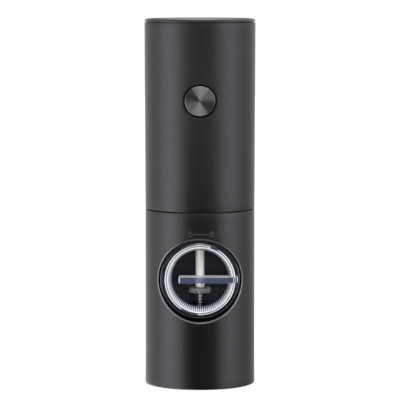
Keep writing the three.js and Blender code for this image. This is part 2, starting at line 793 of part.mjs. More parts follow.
function topCap() {
  const { plateBottom, chamfer, skirtRadius, skirtBore, skirtBottom } = cap;
  const edge = shell.topRadius - 0.1;
  const outline = [
    [0, plateBottom],
    [skirtBore, plateBottom],
    [skirtBore, skirtBottom],
    [skirtRadius, skirtBottom],
    [skirtRadius, plateBottom],
    [edge, plateBottom],
    [edge, HEIGHT - chamfer],
    [shell.topRadius - chamfer, HEIGHT],
    [0, HEIGHT],
  ];
  return part('top_cap', turned(outline, ROUND), softBlack);
}

/** The cells stand round the holder's post, every other one upside down. */
function batteryCells() {
  const { radius, length, bottom, orbit, count, noseRadius, nose } = cell;
  const top = bottom + length;
  const outline = [
    [0, bottom],
    [radius, bottom],
    [radius, top - nose],
    [noseRadius, top - nose],
    [noseRadius, top],
    [0, top],
  ];
  return Array.from({ length: count }, (_, i) => {
    const battery = part(`battery_${i + 1}`, turned(outline, SMALL_ROUND), cellWrap);
    battery.position.x = orbit;
    if (i % 2) {
      battery.rotation.x = Math.PI;
      battery.position.z = bottom + top;
    }
    return atAngle(45 + (360 * i) / count, battery);
  });
}

/** The battery holder under the top cap: two plates on a middle post, with the cells between them. */
function batteryPack() {
  const { length, bottom } = cell;
  const { radius, thickness, post } = packPlate;
  const top = bottom + length;
  const lower = rod(radius, bottom - GAP - thickness, bottom - GAP, INNER_ROUND);
  const upper = rod(radius, top + GAP, top + GAP + thickness, INNER_ROUND);
  const body = lower.add(upper).add(rod(post, bottom - 1, top + 1, 10));
  return [part('battery_carrier', body, nylon), ...batteryCells()];
}

function batteryBay() {
  const floor = bracket.top + GAP;
  return [
    part('battery_sleeve', ring(bay.radius, bay.bore, floor, bay.top), innerBlack),
    part('bay_contact', rod(bay.contactRadius, floor, floor + bay.contact), brass),
  ];
}

// ---------------------------------------------------------------- assembly
/** A group whose +Z runs out of the front of the mill at a height. */
function frontAxis(height, ...pieces) {
  const group = new THREE.Group();
  group.position.z = height;
  group.rotation.x = Math.PI / 2;
  group.add(...pieces);
  return group;
}

const lowerHalf = new THREE.Group();
lowerHalf.add(lowerHousing(), pepperChamber(), chamberTop(), shaftBush(), outerBurr(), grinderHousing());
lowerHalf.add(baseRing(), ...screws('base_screw', baseScrews), ...driveLine());
lowerHalf.add(frontAxis(port.height, bayonetRing(), lidSeal(), refillLid()));

const upperHalf = new THREE.Group();
upperHalf.add(upperHousing(), chassisFloor(), ...gearboxShell(), ...gearTrain(), ...motorParts());
upperHalf.add(motorBracket(), ...screws('bracket_screw', bracketScrews), ...motorLeads());
upperHalf.add(...switchParts(), ...batteryBay());
upperHalf.add(frontAxis(button.height, ...buttonParts()), topCap(), ...batteryPack());

const mill = new THREE.Group();
mill.add(lowerHalf, upperHalf);

export default mill;
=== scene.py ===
"""Looks of the battery pepper mill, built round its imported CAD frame.

Sizes are in millimetres and turned into metres where a mesh is made. The mill's axis is Z, and the refill port
and the button face -Y. Pieces of the port and of the button are turned about an axis that runs out of the front:
there, "height" along the axis is the distance from the mill's axis.
"""

import json
import math

import bmesh
import bpy
from mathutils import Matrix, Vector


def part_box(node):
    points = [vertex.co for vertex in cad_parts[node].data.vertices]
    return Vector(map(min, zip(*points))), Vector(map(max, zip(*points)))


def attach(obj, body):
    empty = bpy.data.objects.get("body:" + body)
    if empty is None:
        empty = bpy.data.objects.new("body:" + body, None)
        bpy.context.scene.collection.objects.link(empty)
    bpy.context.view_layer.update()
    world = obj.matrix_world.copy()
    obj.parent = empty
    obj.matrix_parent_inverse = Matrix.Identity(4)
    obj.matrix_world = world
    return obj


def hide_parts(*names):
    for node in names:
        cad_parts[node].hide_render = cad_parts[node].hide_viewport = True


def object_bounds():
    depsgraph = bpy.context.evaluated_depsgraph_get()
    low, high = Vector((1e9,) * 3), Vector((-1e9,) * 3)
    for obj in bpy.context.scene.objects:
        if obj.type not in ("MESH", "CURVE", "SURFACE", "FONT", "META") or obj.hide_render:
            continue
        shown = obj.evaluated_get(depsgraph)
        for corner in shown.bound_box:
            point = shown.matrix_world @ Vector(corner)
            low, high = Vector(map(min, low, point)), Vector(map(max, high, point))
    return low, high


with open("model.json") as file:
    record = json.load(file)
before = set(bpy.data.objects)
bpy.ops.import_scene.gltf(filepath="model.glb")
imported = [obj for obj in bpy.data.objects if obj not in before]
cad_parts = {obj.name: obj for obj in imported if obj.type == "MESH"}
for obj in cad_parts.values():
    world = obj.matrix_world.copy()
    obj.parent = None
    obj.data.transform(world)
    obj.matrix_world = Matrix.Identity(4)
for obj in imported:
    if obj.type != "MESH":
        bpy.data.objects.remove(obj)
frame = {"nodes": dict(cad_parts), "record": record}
CAD_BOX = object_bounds()

# ---------- driving dimensions, in millimetres
MM = 0.001
FINE = 192  # segments round a housing
ROUND = 96  # segments round a smaller piece
SMALL = 40  # segments round a pin, a screw or a wire
CORNER_STEPS = 5  # segments round a rounded corner

HEIGHT = 183
SEAM = 88
SEAM_GAP = 0.25
FOOT_RADIUS = 27.45
WAIST_RADIUS = 27.4
TOP_RADIUS = 27.7
FOOT_LIP_RADIUS = 23.6
FOOT_LIP_HEIGHT = 2.6
LOWER_BORE = 24.7
UPPER_BORE_BOTTOM = 24.8
UPPER_BORE_TOP = 25.25

PORT_HEIGHT = 54.2
PORT_HOLE = 20.5
PORT_EDGE = 0.9  # how far its rounded edge reaches, each way
FLAT_FRONT = 13.8
FLAT_BACK = 12

LID_WALL = 17.5
LID_BORE = 15.75
LID_WINDOW = 14.1
LID_FLANGE = 18.7
LID_FLOOR_BACK = 11.5
LID_FLOOR_FRONT = 13.5
LID_BEVEL_FRONT = 16.5
LID_FLANGE_BACK = 17.4
LID_FLANGE_FRONT = 18.4
LID_RIM = 21.7
RIM_GROOVE = 16.7
LID_FLUTES = 96
LID_FLUTE_DEPTH = 0.2
RIB_FRONT = 23
RIB_HALF = 1.5
RIB_LEFT = -10.6
RIB_RIGHT = 18.6
LUG_RADIUS = 18.5
LUG_BACK = 14.1
LUG_FRONT = 14.9
LUG_WIDTH = 24
LUG_AT = (68, 248)
MARKS_SHIFT = 0.5  # the lock marks sit a little to the right of the port's middle
POINTER_AT = 74.4  # degrees round the lid from +X

CHAMBER_RADIUS = 24.2
CHAMBER_BORE = 22.6
CHAMBER_BOTTOM = 30.8
CHAMBER_TOP = 76.8
SHAFT_BORE = 1.58  # of the pieces round the shaft
BASE_SCREWS = (18.4, (30, 150, 270))  # orbit, and angles
BRACKET_SCREWS = (20.3, (90, 210, 330))
SCREW_HOLE = 1.6
CELL_BOTTOM = 134.9
CELL_LENGTH = 44.5

BUTTON_HEIGHT = 143
BUTTON_HOLE = 8.4
BUTTON_HOLE_EDGE = 0.25
CAP_RADIUS = 7.45
CAP_BACK = 24.9
CAP_FACE = 26.75

UPRIGHT = Matrix.Identity(4)
TURNED_OUT = Matrix.Rotation(math.pi / 2, 4, "X")


def out_of_front(height):
    """Puts a shape built about +Z on an axis that runs out of the front at a height."""
    return Matrix.Translation((0, 0, height)) @ TURNED_OUT


def about_z(degrees):
    """A turn about the mill's axis."""
    return Matrix.Rotation(math.radians(degrees), 4, "Z")


def on_circle(orbit, degrees):
    """Puts a shape that is built about Z at an angle on a circle round the mill's axis."""
    return about_z(degrees) @ Matrix.Translation((orbit, 0, 0))


OUT_OF_PORT = out_of_front(PORT_HEIGHT)


# ---------- mesh helpers
def scaled(place):
    """The same placing, from millimetres to metres."""
    return Matrix.Scale(MM, 4) @ place


def shade_smooth(mesh, sharp_degrees):
    for polygon in mesh.polygons:
        polygon.use_smooth = True
    mesh.set_sharp_from_angle(angle=math.radians(sharp_degrees))


def finish_mesh(name, mesh, sharp_degrees=32):
    mesh.validate()
    shade_smooth(mesh, sharp_degrees)
    piece = bpy.data.objects.new(name, mesh)
    bpy.context.scene.collection.objects.link(piece)
    return piece


def from_bmesh(name, bm, place=UPRIGHT, sharp_degrees=32):
    bmesh.ops.recalc_face_normals(bm, faces=bm.faces)
    bm.transform(scaled(place))
    mesh = bpy.data.meshes.new(name)
    bm.to_mesh(mesh)
    bm.free()
    return finish_mesh(name, mesh, sharp_degrees)


def arc(x, y, radius, start, end, steps=CORNER_STEPS):
    """Points round a circle from one angle to another, in degrees, ends included."""
    angles = [math.radians(start + (end - start) * i / steps) for i in range(steps + 1)]
    return [(x + radius * math.cos(a), y + radius * math.sin(a)) for a in angles]


def rounded(corners, closed=True, steps=CORNER_STEPS):
    """An outline whose corners (x, y, radius) are rounded. A corner (x, y) stays sharp."""
    points = []
    for i, corner in enumerate(corners):
        radius = corner[2] if len(corner) > 2 else 0
        here = Vector(corner[:2])
        inner = closed or 0 < i < len(corners) - 1
        if not radius or not inner:
            points.append(tuple(here))
            continue
        before = (Vector(corners[i - 1][:2]) - here).normalized()
        after = (Vector(corners[(i + 1) % len(corners)][:2]) - here).normalized()
        half = before.angle(after) / 2
        if half > 1.56:  # the outline runs on nearly straight
            points.append(tuple(here))
            continue
        reach = radius / math.tan(half)
        centre = here + (before + after).normalized() * radius / math.sin(half)
        first = here + before * reach - centre
        last = here + after * reach - centre
        turn = first.angle_signed(last)
        for k in range(steps + 1):
            points.append(tuple(centre + Matrix.Rotation(-turn * k / steps, 2) @ first))
    return points


def divided(outline, longest=3.0):
    """The same closed outline with its long lines cut up, so that a wall shades evenly round a hole."""
    points = []
    for start, end in zip(outline, outline[1:] + outline[:1]):
        steps = max(1, math.ceil(math.dist(start, end) / longest))
        points += [tuple(Vector(start).lerp(Vector(end), k / steps)) for k in range(steps)]
    return points


def lathe(name, outline, segments=ROUND, place=UPRIGHT, flute=None, sharp_degrees=32):
    """Turned about Z from an outline of (radius, height). It closes on itself, or starts and ends on the axis.
    flute(radius, height, angle) may give each point another radius."""
    bm = bmesh.new()
    rings = []
    for radius, height in outline:
        if radius < 1e-6:
            rings.append([bm.verts.new((0, 0, height))])
            continue
        ring = []
        for i in range(segments):
            angle = 2 * math.pi * i / segments
            r = flute(radius, height, angle) if flute else radius
            ring.append(bm.verts.new((r * math.cos(angle), r * math.sin(angle), height)))
        rings.append(ring)
    pairs = list(zip(rings, rings[1:]))
    if outline[0][0] > 1e-6:
        pairs.append((rings[-1], rings[0]))
    for low, high in pairs:
        for i in range(segments):
            j = (i + 1) % segments
            ends = [low[i % len(low)], low[j % len(low)], high[j % len(high)], high[i % len(high)]]
            corners = list(dict.fromkeys(ends))
            if len(corners) > 2:
                bm.faces.new(corners)
    return from_bmesh(name, bm, place, sharp_degrees)


def prism(name, corners, bottom, top, place=UPRIGHT, bevel=0.0, sharp_degrees=32):
    """A block over a list of (x, y) corners, its top and bottom edges bevelled."""
    bm = bmesh.new()
    low = bm.faces.new([bm.verts.new((x, y, bottom)) for x, y in corners])
    moved = bmesh.ops.extrude_face_region(bm, geom=[low])["geom"]
    raised = [v for v in moved if isinstance(v, bmesh.types.BMVert)]
    bmesh.ops.translate(bm, verts=raised, vec=(0, 0, top - bottom))
    if bevel:
        flat = [e for e in bm.edges if abs(e.verts[0].co.z - e.verts[1].co.z) < 1e-6]
        bmesh.ops.bevel(bm, geom=flat, offset=bevel, segments=2, affect="EDGES", profile=0.5)
    return from_bmesh(name, bm, place, sharp_degrees)


def combine(piece, *tools, operation="DIFFERENCE", sharp_degrees=32):
    """Cuts the tools from the piece, or joins them to it, and deletes them."""
    for tool in tools:
        modifier = piece.modifiers.new("combine", "BOOLEAN")
        modifier.operation = operation
        modifier.solver = "MANIFOLD"
        modifier.object = tool
    bpy.context.view_layer.update()
    graph = bpy.context.evaluated_depsgraph_get()
    mesh = bpy.data.meshes.new_from_object(piece.evaluated_get(graph))
    piece.modifiers.clear()
    piece.data = mesh
    for tool in tools:
        bpy.data.objects.remove(tool)
    shade_smooth(mesh, sharp_degrees)
    return piece


def tube(name, points, radius, sides=12, place=UPRIGHT):
    """A round wire along a list of points, with closed ends."""
    bm = bmesh.new()
    rings = []
    count = len(points)
    for i, point in enumerate(points):
        here = Vector(point)
        along = Vector(points[min(i + 1, count - 1)]) - Vector(points[max(i - 1, 0)])
        side = along.cross(Vector((0.31, 0.17, 0.93))).normalized()
        up = along.cross(side).normalized()
        turns = [2 * math.pi * k / sides for k in range(sides)]
        rings.append([bm.verts.new(here + radius * (math.cos(a) * side + math.sin(a) * up)) for a in turns])
    for a, b in zip(rings, rings[1:]):
        for k in range(sides):
            bm.faces.new([a[k], a[(k + 1) % sides], b[(k + 1) % sides], b[k]])
    bm.faces.new(rings[0])
    bm.faces.new(rings[-1])
    return from_bmesh(name, bm, place)


def helix_points(radius, bottom, top, turns, per_turn=24):
    """The path of a coil spring's wire."""
    count = int(turns * per_turn)
    round_axis = arc(0, 0, radius, 0, 360 * turns, count)
    return [(x, y, bottom + (top - bottom) * i / count) for i, (x, y) in enumerate(round_axis)]


# ---------- materials
class Graph:
    """A node tree, and short ways to add nodes to it."""

    def __init__(self, owner):
        owner.use_nodes = True
        self.nodes = owner.node_tree.nodes
        self.links = owner.node_tree.links

    def node(self, kind, **settings):
        made = self.nodes.new(kind)
        for key, value in settings.items():
            setattr(made, key, value)
        return made

    def feed(self, value, socket):
        """Links an output to a socket, or sets the socket to a constant."""
        if isinstance(value, bpy.types.NodeSocket):
            self.links.new(value, socket)
        else:
            socket.default_value = value

    def maths(self, operation, *values, kind="ShaderNodeMath", result="Value"):
        node = self.node(kind, operation=operation)
        for value, socket in zip(values, node.inputs):
            self.feed(value, socket)
        return node.outputs[result]

    def vector(self, operation, *values, result="Vector"):
        return self.maths(operation, *values, kind="ShaderNodeVectorMath", result=result)

    def split(self, value):
        """The X, Y and Z of a vector."""
        node = self.node("ShaderNodeSeparateXYZ")
        self.feed(value, node.inputs["Vector"])
        return node.outputs

    def ramp(self, value, stops, interpolation="LINEAR"):
        """A colour that follows a value through (position, colour) stops."""
        node = self.node("ShaderNodeValToRGB")
        node.color_ramp.interpolation = interpolation
        elements = node.color_ramp.elements
        for element, (position, colour) in zip(elements, (stops[0], stops[-1])):
            element.position, element.color = position, (*colour, 1)
        for position, colour in stops[1:-1]:
            elements.new(position).color = (*colour, 1)
        self.feed(value, node.inputs["Fac"])
        return node.outputs["Color"]

    def level(self, value, stops):
        """A number that follows a value smoothly through (position, number) stops."""
        most = max(number for _, number in stops)
        greys = [(position, [number / most] * 3) for position, number in stops]
        return self.maths("MULTIPLY", self.ramp(value, greys, "B_SPLINE"), most)


class Shader(Graph):
    """A node material with one Principled shader, and ways to give its surface detail."""

    def __init__(self, name, **constants):
        self.material = bpy.data.materials.new(name)
        super().__init__(self.material)
        self.surface = self.nodes["Principled BSDF"]
        for socket, value in constants.items():
            self.surface.inputs[socket.replace("_", " ")].default_value = value
        self.place = self.node("ShaderNodeTexCoord").outputs["Object"]
        self.bumped = None

    def centre(self, height):
        """Counts places from a point on the mill's axis from here on."""
        self.place = self.vector("SUBTRACT", self.place, (0, 0, height * MM))

    def noise(self, size, detail=3.0, stretch=(1, 1, 1)):
        """Noise whose features are about that many millimetres across."""
        mapping = self.node("ShaderNodeMapping")
        mapping.inputs["Scale"].default_value = stretch
        self.feed(self.place, mapping.inputs["Vector"])
        texture = self.node("ShaderNodeTexNoise")
        texture.inputs["Scale"].default_value = 1 / (size * MM)
        texture.inputs["Detail"].default_value = detail
        self.feed(mapping.outputs["Vector"], texture.inputs["Vector"])
        return texture.outputs["Fac"]

    def spread(self, value, low, high, start=0.3, end=0.7):
        """Maps start..end of a value to low..high."""
        mapped = self.node("ShaderNodeMapRange")
        for socket, number in zip(("From Min", "From Max", "To Min", "To Max"), (start, end, low, high)):
            mapped.inputs[socket].default_value = number
        self.feed(value, mapped.inputs["Value"])
        return mapped.outputs["Result"]

    def colours(self, value, first, second, start=0.3, end=0.7):
        """Base colour between two colours, by a value."""
        self.feed(self.ramp(value, [(start, first), (end, second)]), self.surface.inputs["Base Color"])

    def bump(self, value, height):
        """Relief of that many millimetres. Each call adds to the last."""
        node = self.node("ShaderNodeBump")
        node.inputs["Strength"].default_value = 1
        node.inputs["Distance"].default_value = height * MM
        self.feed(value, node.inputs["Height"])
        if self.bumped:
            self.feed(self.bumped, node.inputs["Normal"])
        self.bumped = node.outputs["Normal"]
        self.feed(self.bumped, self.surface.inputs["Normal"])

    def axis_distance(self, axis):
        """Distance from the line through the places' origin along an axis, in metres."""
        across = self.vector("MULTIPLY", self.place, [0 if k == axis else 1 for k in range(3)])
        return self.vector("LENGTH", across, result="Value")

    def waves(self, value, pitch):
        """A sine that repeats each pitch millimetres of a length in metres."""
        return self.maths("SINE", self.maths("MULTIPLY", value, 2 * math.pi / (pitch * MM)))


FINISHES = {}


def noisy(name, grain, dark, light, rough=None, bumps=(), span=(0.3, 0.7), **constants):
    """A finish that noise varies. Each noise is a list of (size, detail, stretch), of which size is enough: the
    grain between the dark and the light colour, rough's with its lowest and highest roughness, and each bump's
    with its height."""
    made = Shader(name, **constants)
    made.colours(made.noise(*grain), dark, light, *span)
    if rough:
        noise, low, high = rough
        made.feed(made.spread(made.noise(*noise), low, high), made.surface.inputs["Roughness"])
    for noise, height in bumps:
        made.bump(made.noise(*noise), height)
    FINISHES[name] = made.material
    return made


# The housings' soft-touch matt black, with a fine grain.
noisy("soft_black", [9, 2], (0.0046, 0.0045, 0.0048), (0.0064, 0.0062, 0.0066), ([1.2, 4], 0.29, 0.37),
      [([0.3, 2], 0.016), ([1.1, 2], 0.006)], Specular_IOR_Level=0.52, Specular_Tint=(0.97, 0.935, 1, 1))
# The polished top cap.
noisy("gloss_black", [6], (0.010, 0.010, 0.011), (0.014, 0.014, 0.015), ([0.8], 0.2, 0.3),
      Specular_IOR_Level=0.4, Coat_Weight=0.05, Coat_Roughness=0.2)
# Moulded satin black of the inside pieces, with flow marks.
noisy("inner_black", [5, 4], (0.0075, 0.0075, 0.0085), (0.0115, 0.0115, 0.0125),
      ([2.4, 3, (1, 1, 0.3)], 0.30, 0.46), [([0.35, 2], 0.008)], Specular_IOR_Level=0.45)
# The chamber's dark plastic, a little blue.
noisy("chamber_black", [5, 4], (0.0020, 0.0028, 0.0100), (0.0032, 0.0042, 0.0135), None, [([0.35, 2], 0.008)],
      Roughness=0.6, Specular_IOR_Level=0.2)
# The rounded edges of the port and its ring: polished, so that they catch the side lights, and given a paler
# metallic grey than the black housing, which paints in part of their highlight.
noisy("port_edge", [3], (0.11, 0.11, 0.115), (0.16, 0.16, 0.168), ([0.9], 0.12, 0.19),
      Metallic=0.7, Specular_IOR_Level=0.9)
# The lock marks, a shade paler than the housing.
noisy("mark_grey", [1], (0.052, 0.052, 0.055), (0.072, 0.072, 0.076), Roughness=0.5)
# Clear polished plastic, with a faint blue tint.
noisy("clear_plastic", [9, 1], (0.93, 0.95, 1.0), (0.96, 0.97, 1.0), None, [([7, 1], 0.004)],
      Roughness=0.02, IOR=1.2, Transmission_Weight=1.0)
# The lid's rim: clear plastic gathers light there and looks white, and that light is painted in as a near-white
# colour over part transmission.
noisy("bright_rim", [4], (0.86, 0.88, 0.93), (0.96, 0.97, 1.0), ([1.5], 0.08, 0.18),
      IOR=1.49, Transmission_Weight=0.35)
# The finger rib's thick body: seen through, it looks a hazy navy.
noisy("rib_face", [5], (0.062, 0.082, 0.148), (0.088, 0.108, 0.178), None, [([3, 1], 0.01)],
      Roughness=0.12, IOR=1.3, Transmission_Weight=0.45)
# The rib's upper side: a pale copy of the rib's plastic, with the light it passes on from above painted in.
noisy("rib_top_lit", [4], (0.74, 0.72, 0.68), (0.88, 0.86, 0.82), Roughness=0.2, IOR=1.3, Transmission_Weight=0.35)
# Dark grey rubber of the lid's seal.
noisy("silicone", [1.5], (0.012, 0.014, 0.020), (0.020, 0.022, 0.030), None, [([0.3], 0.01)],
      Roughness=0.6, Specular_IOR_Level=0.35)
# Off-white satin plastic of the shaft's sleeve.
noisy("cream_plastic", [2.2, 4], (0.82, 0.775, 0.69), (0.90, 0.855, 0.77), ([1], 0.36, 0.5), [([0.4], 0.006)],
      Specular_IOR_Level=0.4)
# Cloudy natural plastic of the collar.
noisy("hazy_plastic", [1.8, 4], (0.16, 0.163, 0.150), (0.26, 0.265, 0.248), None, [([0.5], 0.008)],
      Roughness=0.35, Specular_IOR_Level=0.4, Transmission_Weight=0.25)
# Unglazed ceramic with fine dark specks.
noisy("ceramic", [0.5, 6], (0.66, 0.63, 0.575), (0.86, 0.835, 0.785), ([0.6], 0.5, 0.75), [([0.16, 4], 0.02)],
      (0.34, 0.5), Specular_IOR_Level=0.4)
# Plated steel with fine drawing marks along it.
noisy("steel", [0.6, 3, (1, 1, 0.05)], (0.52, 0.53, 0.55), (0.66, 0.67, 0.69),
      ([0.3, 3, (1, 1, 0.08)], 0.2, 0.38), [([0.2, 3, (1, 1, 0.05)], 0.003)], Metallic=1.0)
# Near-black steel, given to the burr's spring.
noisy("dark_steel", [0.8], (0.025, 0.026, 0.030), (0.045, 0.047, 0.054), Metallic=1.0, Roughness=0.5)
# Turned brass, with rings of tool marks.
brass = noisy("brass", [1.2], (0.62, 0.43, 0.17), (0.74, 0.55, 0.25), ([0.5], 0.2, 0.36), Metallic=1.0)
brass.bump(brass.waves(brass.axis_distance(2), 0.22), 0.003)
# Natural nylon, milky and slightly uneven.
noisy("nylon", [2, 4], (0.70, 0.68, 0.60), (0.80, 0.78, 0.71), ([1], 0.38, 0.55), [([0.35], 0.01)],
      Subsurface_Weight=0.15, Specular_IOR_Level=0.4)
# The motor's sintered magnet.
noisy("magnet", [0.5, 5], (0.035, 0.035, 0.038), (0.075, 0.073, 0.075), None, [([0.2, 4], 0.02)], Roughness=0.6)
# A cell's printed foil wrap in one plain colour.
noisy("cell_wrap", [3], (0.075, 0.20, 0.27), (0.11, 0.27, 0.35), ([0.9], 0.24, 0.38), [([2.4], 0.02)],
      Metallic=0.75, Coat_Weight=0.5, Coat_Roughness=0.1)
# The skins of the two leads.
noisy("red_wire", [1], (0.30, 0.012, 0.01), (0.42, 0.02, 0.015), None, [([0.4], 0.01)], Roughness=0.45)
noisy("black_wire", [1], (0.010, 0.010, 0.010), (0.018, 0.018, 0.018), None, [([0.4], 0.01)], Roughness=0.45)


def spun_metal():
    """Turned metal: its circular grooves spread light across them. The star of pale and dark wedges that they make
    is painted into the base colour by angle round the button, as a painted reflection.
    """
    made = Shader("spun_metal", Metallic=1.0, Roughness=0.26, Anisotropic=0.95, Anisotropic_Rotation=0.25)
    tangent = made.node("ShaderNodeTangent", direction_type="RADIAL", axis="Y")
    made.feed(tangent.outputs["Tangent"], made.surface.inputs["Tangent"])
    made.centre(BUTTON_HEIGHT)
    x, _, z = made.split(made.place)
    half_turns = made.maths("MULTIPLY_ADD", made.maths("ARCTAN2", x, z), 1 / math.pi, 1)
    # painted reflection: pale wedges above and below the button's middle, darker ones at its sides
    wedges = [(0.0, 0.42), (0.205, 0.34), (0.225, 0.22), (0.36, 0.27), (0.5, 0.16), (0.62, 0.085), (0.8, 0.11),
              (0.835, 0.30), (1.0, 0.42)]
    stops = [(position, (grey, grey, grey * 1.03)) for position, grey in wedges]
    made.feed(made.ramp(made.maths("FRACT", half_turns), stops), made.surface.inputs["Base Color"])
    distance = made.axis_distance(1)
    made.bump(made.waves(distance, 0.42), 0.0012)
    made.bump(made.waves(distance, 0.155), 0.0006)
    return made.material


def fluted_rim():
    """The lid's fine flutes, with their light and shade painted in: each one gets a dark and a light line, painted
    brighter outwards.
    """
    made = Shader("fluted_rim", Roughness=0.2, IOR=1.3, Transmission_Weight=0.1)
    made.centre(PORT_HEIGHT)
    x, _, z = made.split(made.place)
    # painted light and shade: a dark and a light line per flute by its angle round the port, and the lines get
    # brighter outwards
    line = made.maths("SINE", made.maths("MULTIPLY", made.maths("ARCTAN2", z, x), LID_FLUTES))
    outward = made.spread(made.axis_distance(1), -0.35, 0.35, LID_WINDOW * MM, LID_BORE * MM)
    shade = made.maths("ADD", made.spread(line, 0.1, 0.8, -0.8, 0.8), outward)
    made.colours(shade, (0.005, 0.006, 0.016), (0.88, 0.91, 1.0), 0.2, 0.9)
    return made.material


def circuit_board():
    """Green solder mask with a faint pattern of traces under it."""
    made = Shader("circuit_board", Roughness=0.35, Coat_Weight=0.4, Coat_Roughness=0.2)
    brick = made.node("ShaderNodeTexBrick")
    brick.inputs["Scale"].default_value = 900
    brick.inputs["Mortar Size"].default_value = 0.03
    brick.inputs["Color1"].default_value = (0.016, 0.12, 0.05, 1)
    brick.inputs["Color2"].default_value = (0.020, 0.14, 0.06, 1)
    brick.inputs["Mortar"].default_value = (0.05, 0.24, 0.11, 1)
    made.feed(made.place, brick.inputs["Vector"])
    made.feed(brick.outputs["Color"], made.surface.inputs["Base Color"])
    made.bump(made.noise(0.4), 0.006)
    return made.material


def windings():
    """Enamelled copper wire, wound in fine turns."""
    made = Shader("windings", Metallic=0.85, Roughness=0.35)
    turns = made.waves(made.split(made.place)["Z"], 0.4)
    # painted shade: the colour follows the bump's wave, darker in the grooves between turns and lighter on their
    # crests
    made.colours(made.spread(turns, 0, 1, -1, 1), (0.35, 0.13, 0.05), (0.72, 0.34, 0.16), 0.1, 0.6)
    made.bump(turns, 0.04)
    return made.material


FINISHES |= {
    "spun_metal": spun_metal(),
    "fluted_rim": fluted_rim(),
    "circuit_board": circuit_board(),
    "armature_copper": windings(),
}


# ---------- pieces on the frame
BODY_OF = {node: body for body, nodes in frame["record"]["behaviour"]["bodies"].items() for node in nodes}
SLOT_OF = {row["node"]: row["material_slot"] for row in frame["record"]["subparts"]}


def dress(piece, node, *more_finishes, stands_for=True):
    """Gives a piece the finish and the body of a CAD node, and lets it stand for that node."""
    piece.data.materials.clear()
    piece.data.materials.append(FINISHES[SLOT_OF[node]])
    for finish in more_finishes:
        piece.data.materials.append(FINISHES[finish])
    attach(piece, BODY_OF[node])
    if stands_for:
        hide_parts(node)
    return piece


def detail(piece, node, finish):
    """A small visual piece that goes with a CAD node without standing for it."""
    dress(piece, node, stands_for=False).data.materials[0] = FINISHES[finish]


def turned(node, name, corners, segments=ROUND, closed=True, joined=(), cut=()):
    """A CAD node's turned piece, from the corners of its section, with tools joined to it and cut from it."""
    piece = lathe(name, rounded(corners, closed), segments)
    if joined:
        combine(piece, *joined, operation="UNION")
    if cut:
        combine(piece, *cut)
    dress(piece, node)


def rod(name, radius, bottom, top, place=UPRIGHT, segments=SMALL):
    """A plain round tool."""
    return lathe(name, [(0, bottom), (radius, bottom), (radius, top), (0, top)], segments, place)


def hexagon(name, corner_radius, bottom, top, bevel=0.0):
    """A six-sided block with rounded corners."""
    corners = rounded([(*p, 0.4) for p in arc(0, 0, corner_radius, 0, 300, 5)], steps=3)
    return prism(name, corners, bottom, top, bevel=bevel)


# ---------- housings
def radius_at(height):
    """Outer radius of the housings at a height."""
    if height <= SEAM:
        return FOOT_RADIUS + (WAIST_RADIUS - FOOT_RADIUS) * height / SEAM
    return WAIST_RADIUS + (TOP_RADIUS - WAIST_RADIUS) * (height - SEAM) / (HEIGHT - SEAM)


def front_hole_cutter(name, height, hole, edge, segments=FINE):
    """A tool that cuts a round hole through the front of a housing and rounds its edge along the curved wall."""
    bm = bmesh.new()
    inside, outside = -4, -60  # the tool's ends along Y
    lift = 0.05  # how far the tool passes out of the wall beyond the rounded edge
    steps = 8
    rings = []
    for i in range(segments):
        angle = 2 * math.pi * i / segments
        across, up = math.cos(angle), math.sin(angle)

        def wall(reach):
            x, z = across * reach, height + up * reach
            return -math.sqrt(radius_at(z) ** 2 - x * x)

        start = Vector((hole, wall(hole) + edge))
        corner = Vector((hole, wall(hole)))
        end = Vector((hole + edge, wall(hole + edge) - lift / 3))
        clear = hole + edge * 1.6
        curve = [k / steps for k in range(steps + 1)]
        bend = [(1 - t) ** 2 * start + 2 * t * (1 - t) * corner + t * t * end for t in curve]
        line = [(hole, inside), *bend, (clear, wall(clear) - lift), (clear, outside)]
        rings.append([bm.verts.new((across * r, y, height + up * r)) for r, y in line])
    for a, b in zip(rings, rings[1:] + rings[:1]):
        for k in range(len(a) - 1):
            bm.faces.new([a[k], a[k + 1], b[k + 1], b[k]])
    bm.faces.new([ring[0] for ring in rings])
    bm.faces.new([ring[-1] for ring in rings])
    return from_bmesh(name, bm)


def port_distance(point):
    """Distance in millimetres of a point from the port's axis."""
    return math.hypot(point.x, point.z - PORT_HEIGHT * MM) / MM


def lower_housing():
    """The lower shell, with the port's polished edge, whose highlight is partly painted in by a paler finish."""
    top = SEAM - SEAM_GAP
    outline = rounded([
        (FOOT_LIP_RADIUS, 0, 0.3), (FOOT_RADIUS, 0, 1.0), (WAIST_RADIUS, top, 0.3), (LOWER_BORE, top, 0.3),
        (LOWER_BORE, FOOT_LIP_HEIGHT), (FOOT_LIP_RADIUS, FOOT_LIP_HEIGHT, 0.3),
    ])
    piece = lathe("lower_shell", divided(outline), FINE)
    combine(piece, front_hole_cutter("port_tool", PORT_HEIGHT, PORT_HOLE, PORT_EDGE))
    dress(piece, "lower_housing", "port_edge")
    # partly painted highlight: the rounded edge's faces take the paler, polished port edge finish
    for polygon in piece.data.polygons:
        point = polygon.center
        along_wall = polygon.normal.dot(Vector((point.x, point.y, 0)).normalized()) > 0.9985
        at_edge = PORT_HOLE - 0.05 < port_distance(point) < PORT_HOLE + PORT_EDGE
        if point.y < -10 * MM and at_edge and not along_wall:
            polygon.material_index = 1


def upper_housing():
    """The upper shell, with the button's hole."""
    bottom, top = SEAM + SEAM_GAP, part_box("upper_housing")[1].z / MM
    outline = rounded([
        (UPPER_BORE_BOTTOM, bottom, 0.3), (WAIST_RADIUS, bottom, 0.3), (TOP_RADIUS, top, 0.15),
        (UPPER_BORE_TOP, top, 0.2),
    ])
    piece = lathe("upper_shell", divided(outline), FINE)
    combine(piece, front_hole_cutter("button_tool", BUTTON_HEIGHT, BUTTON_HOLE, BUTTON_HOLE_EDGE, ROUND))
    dress(piece, "upper_housing")


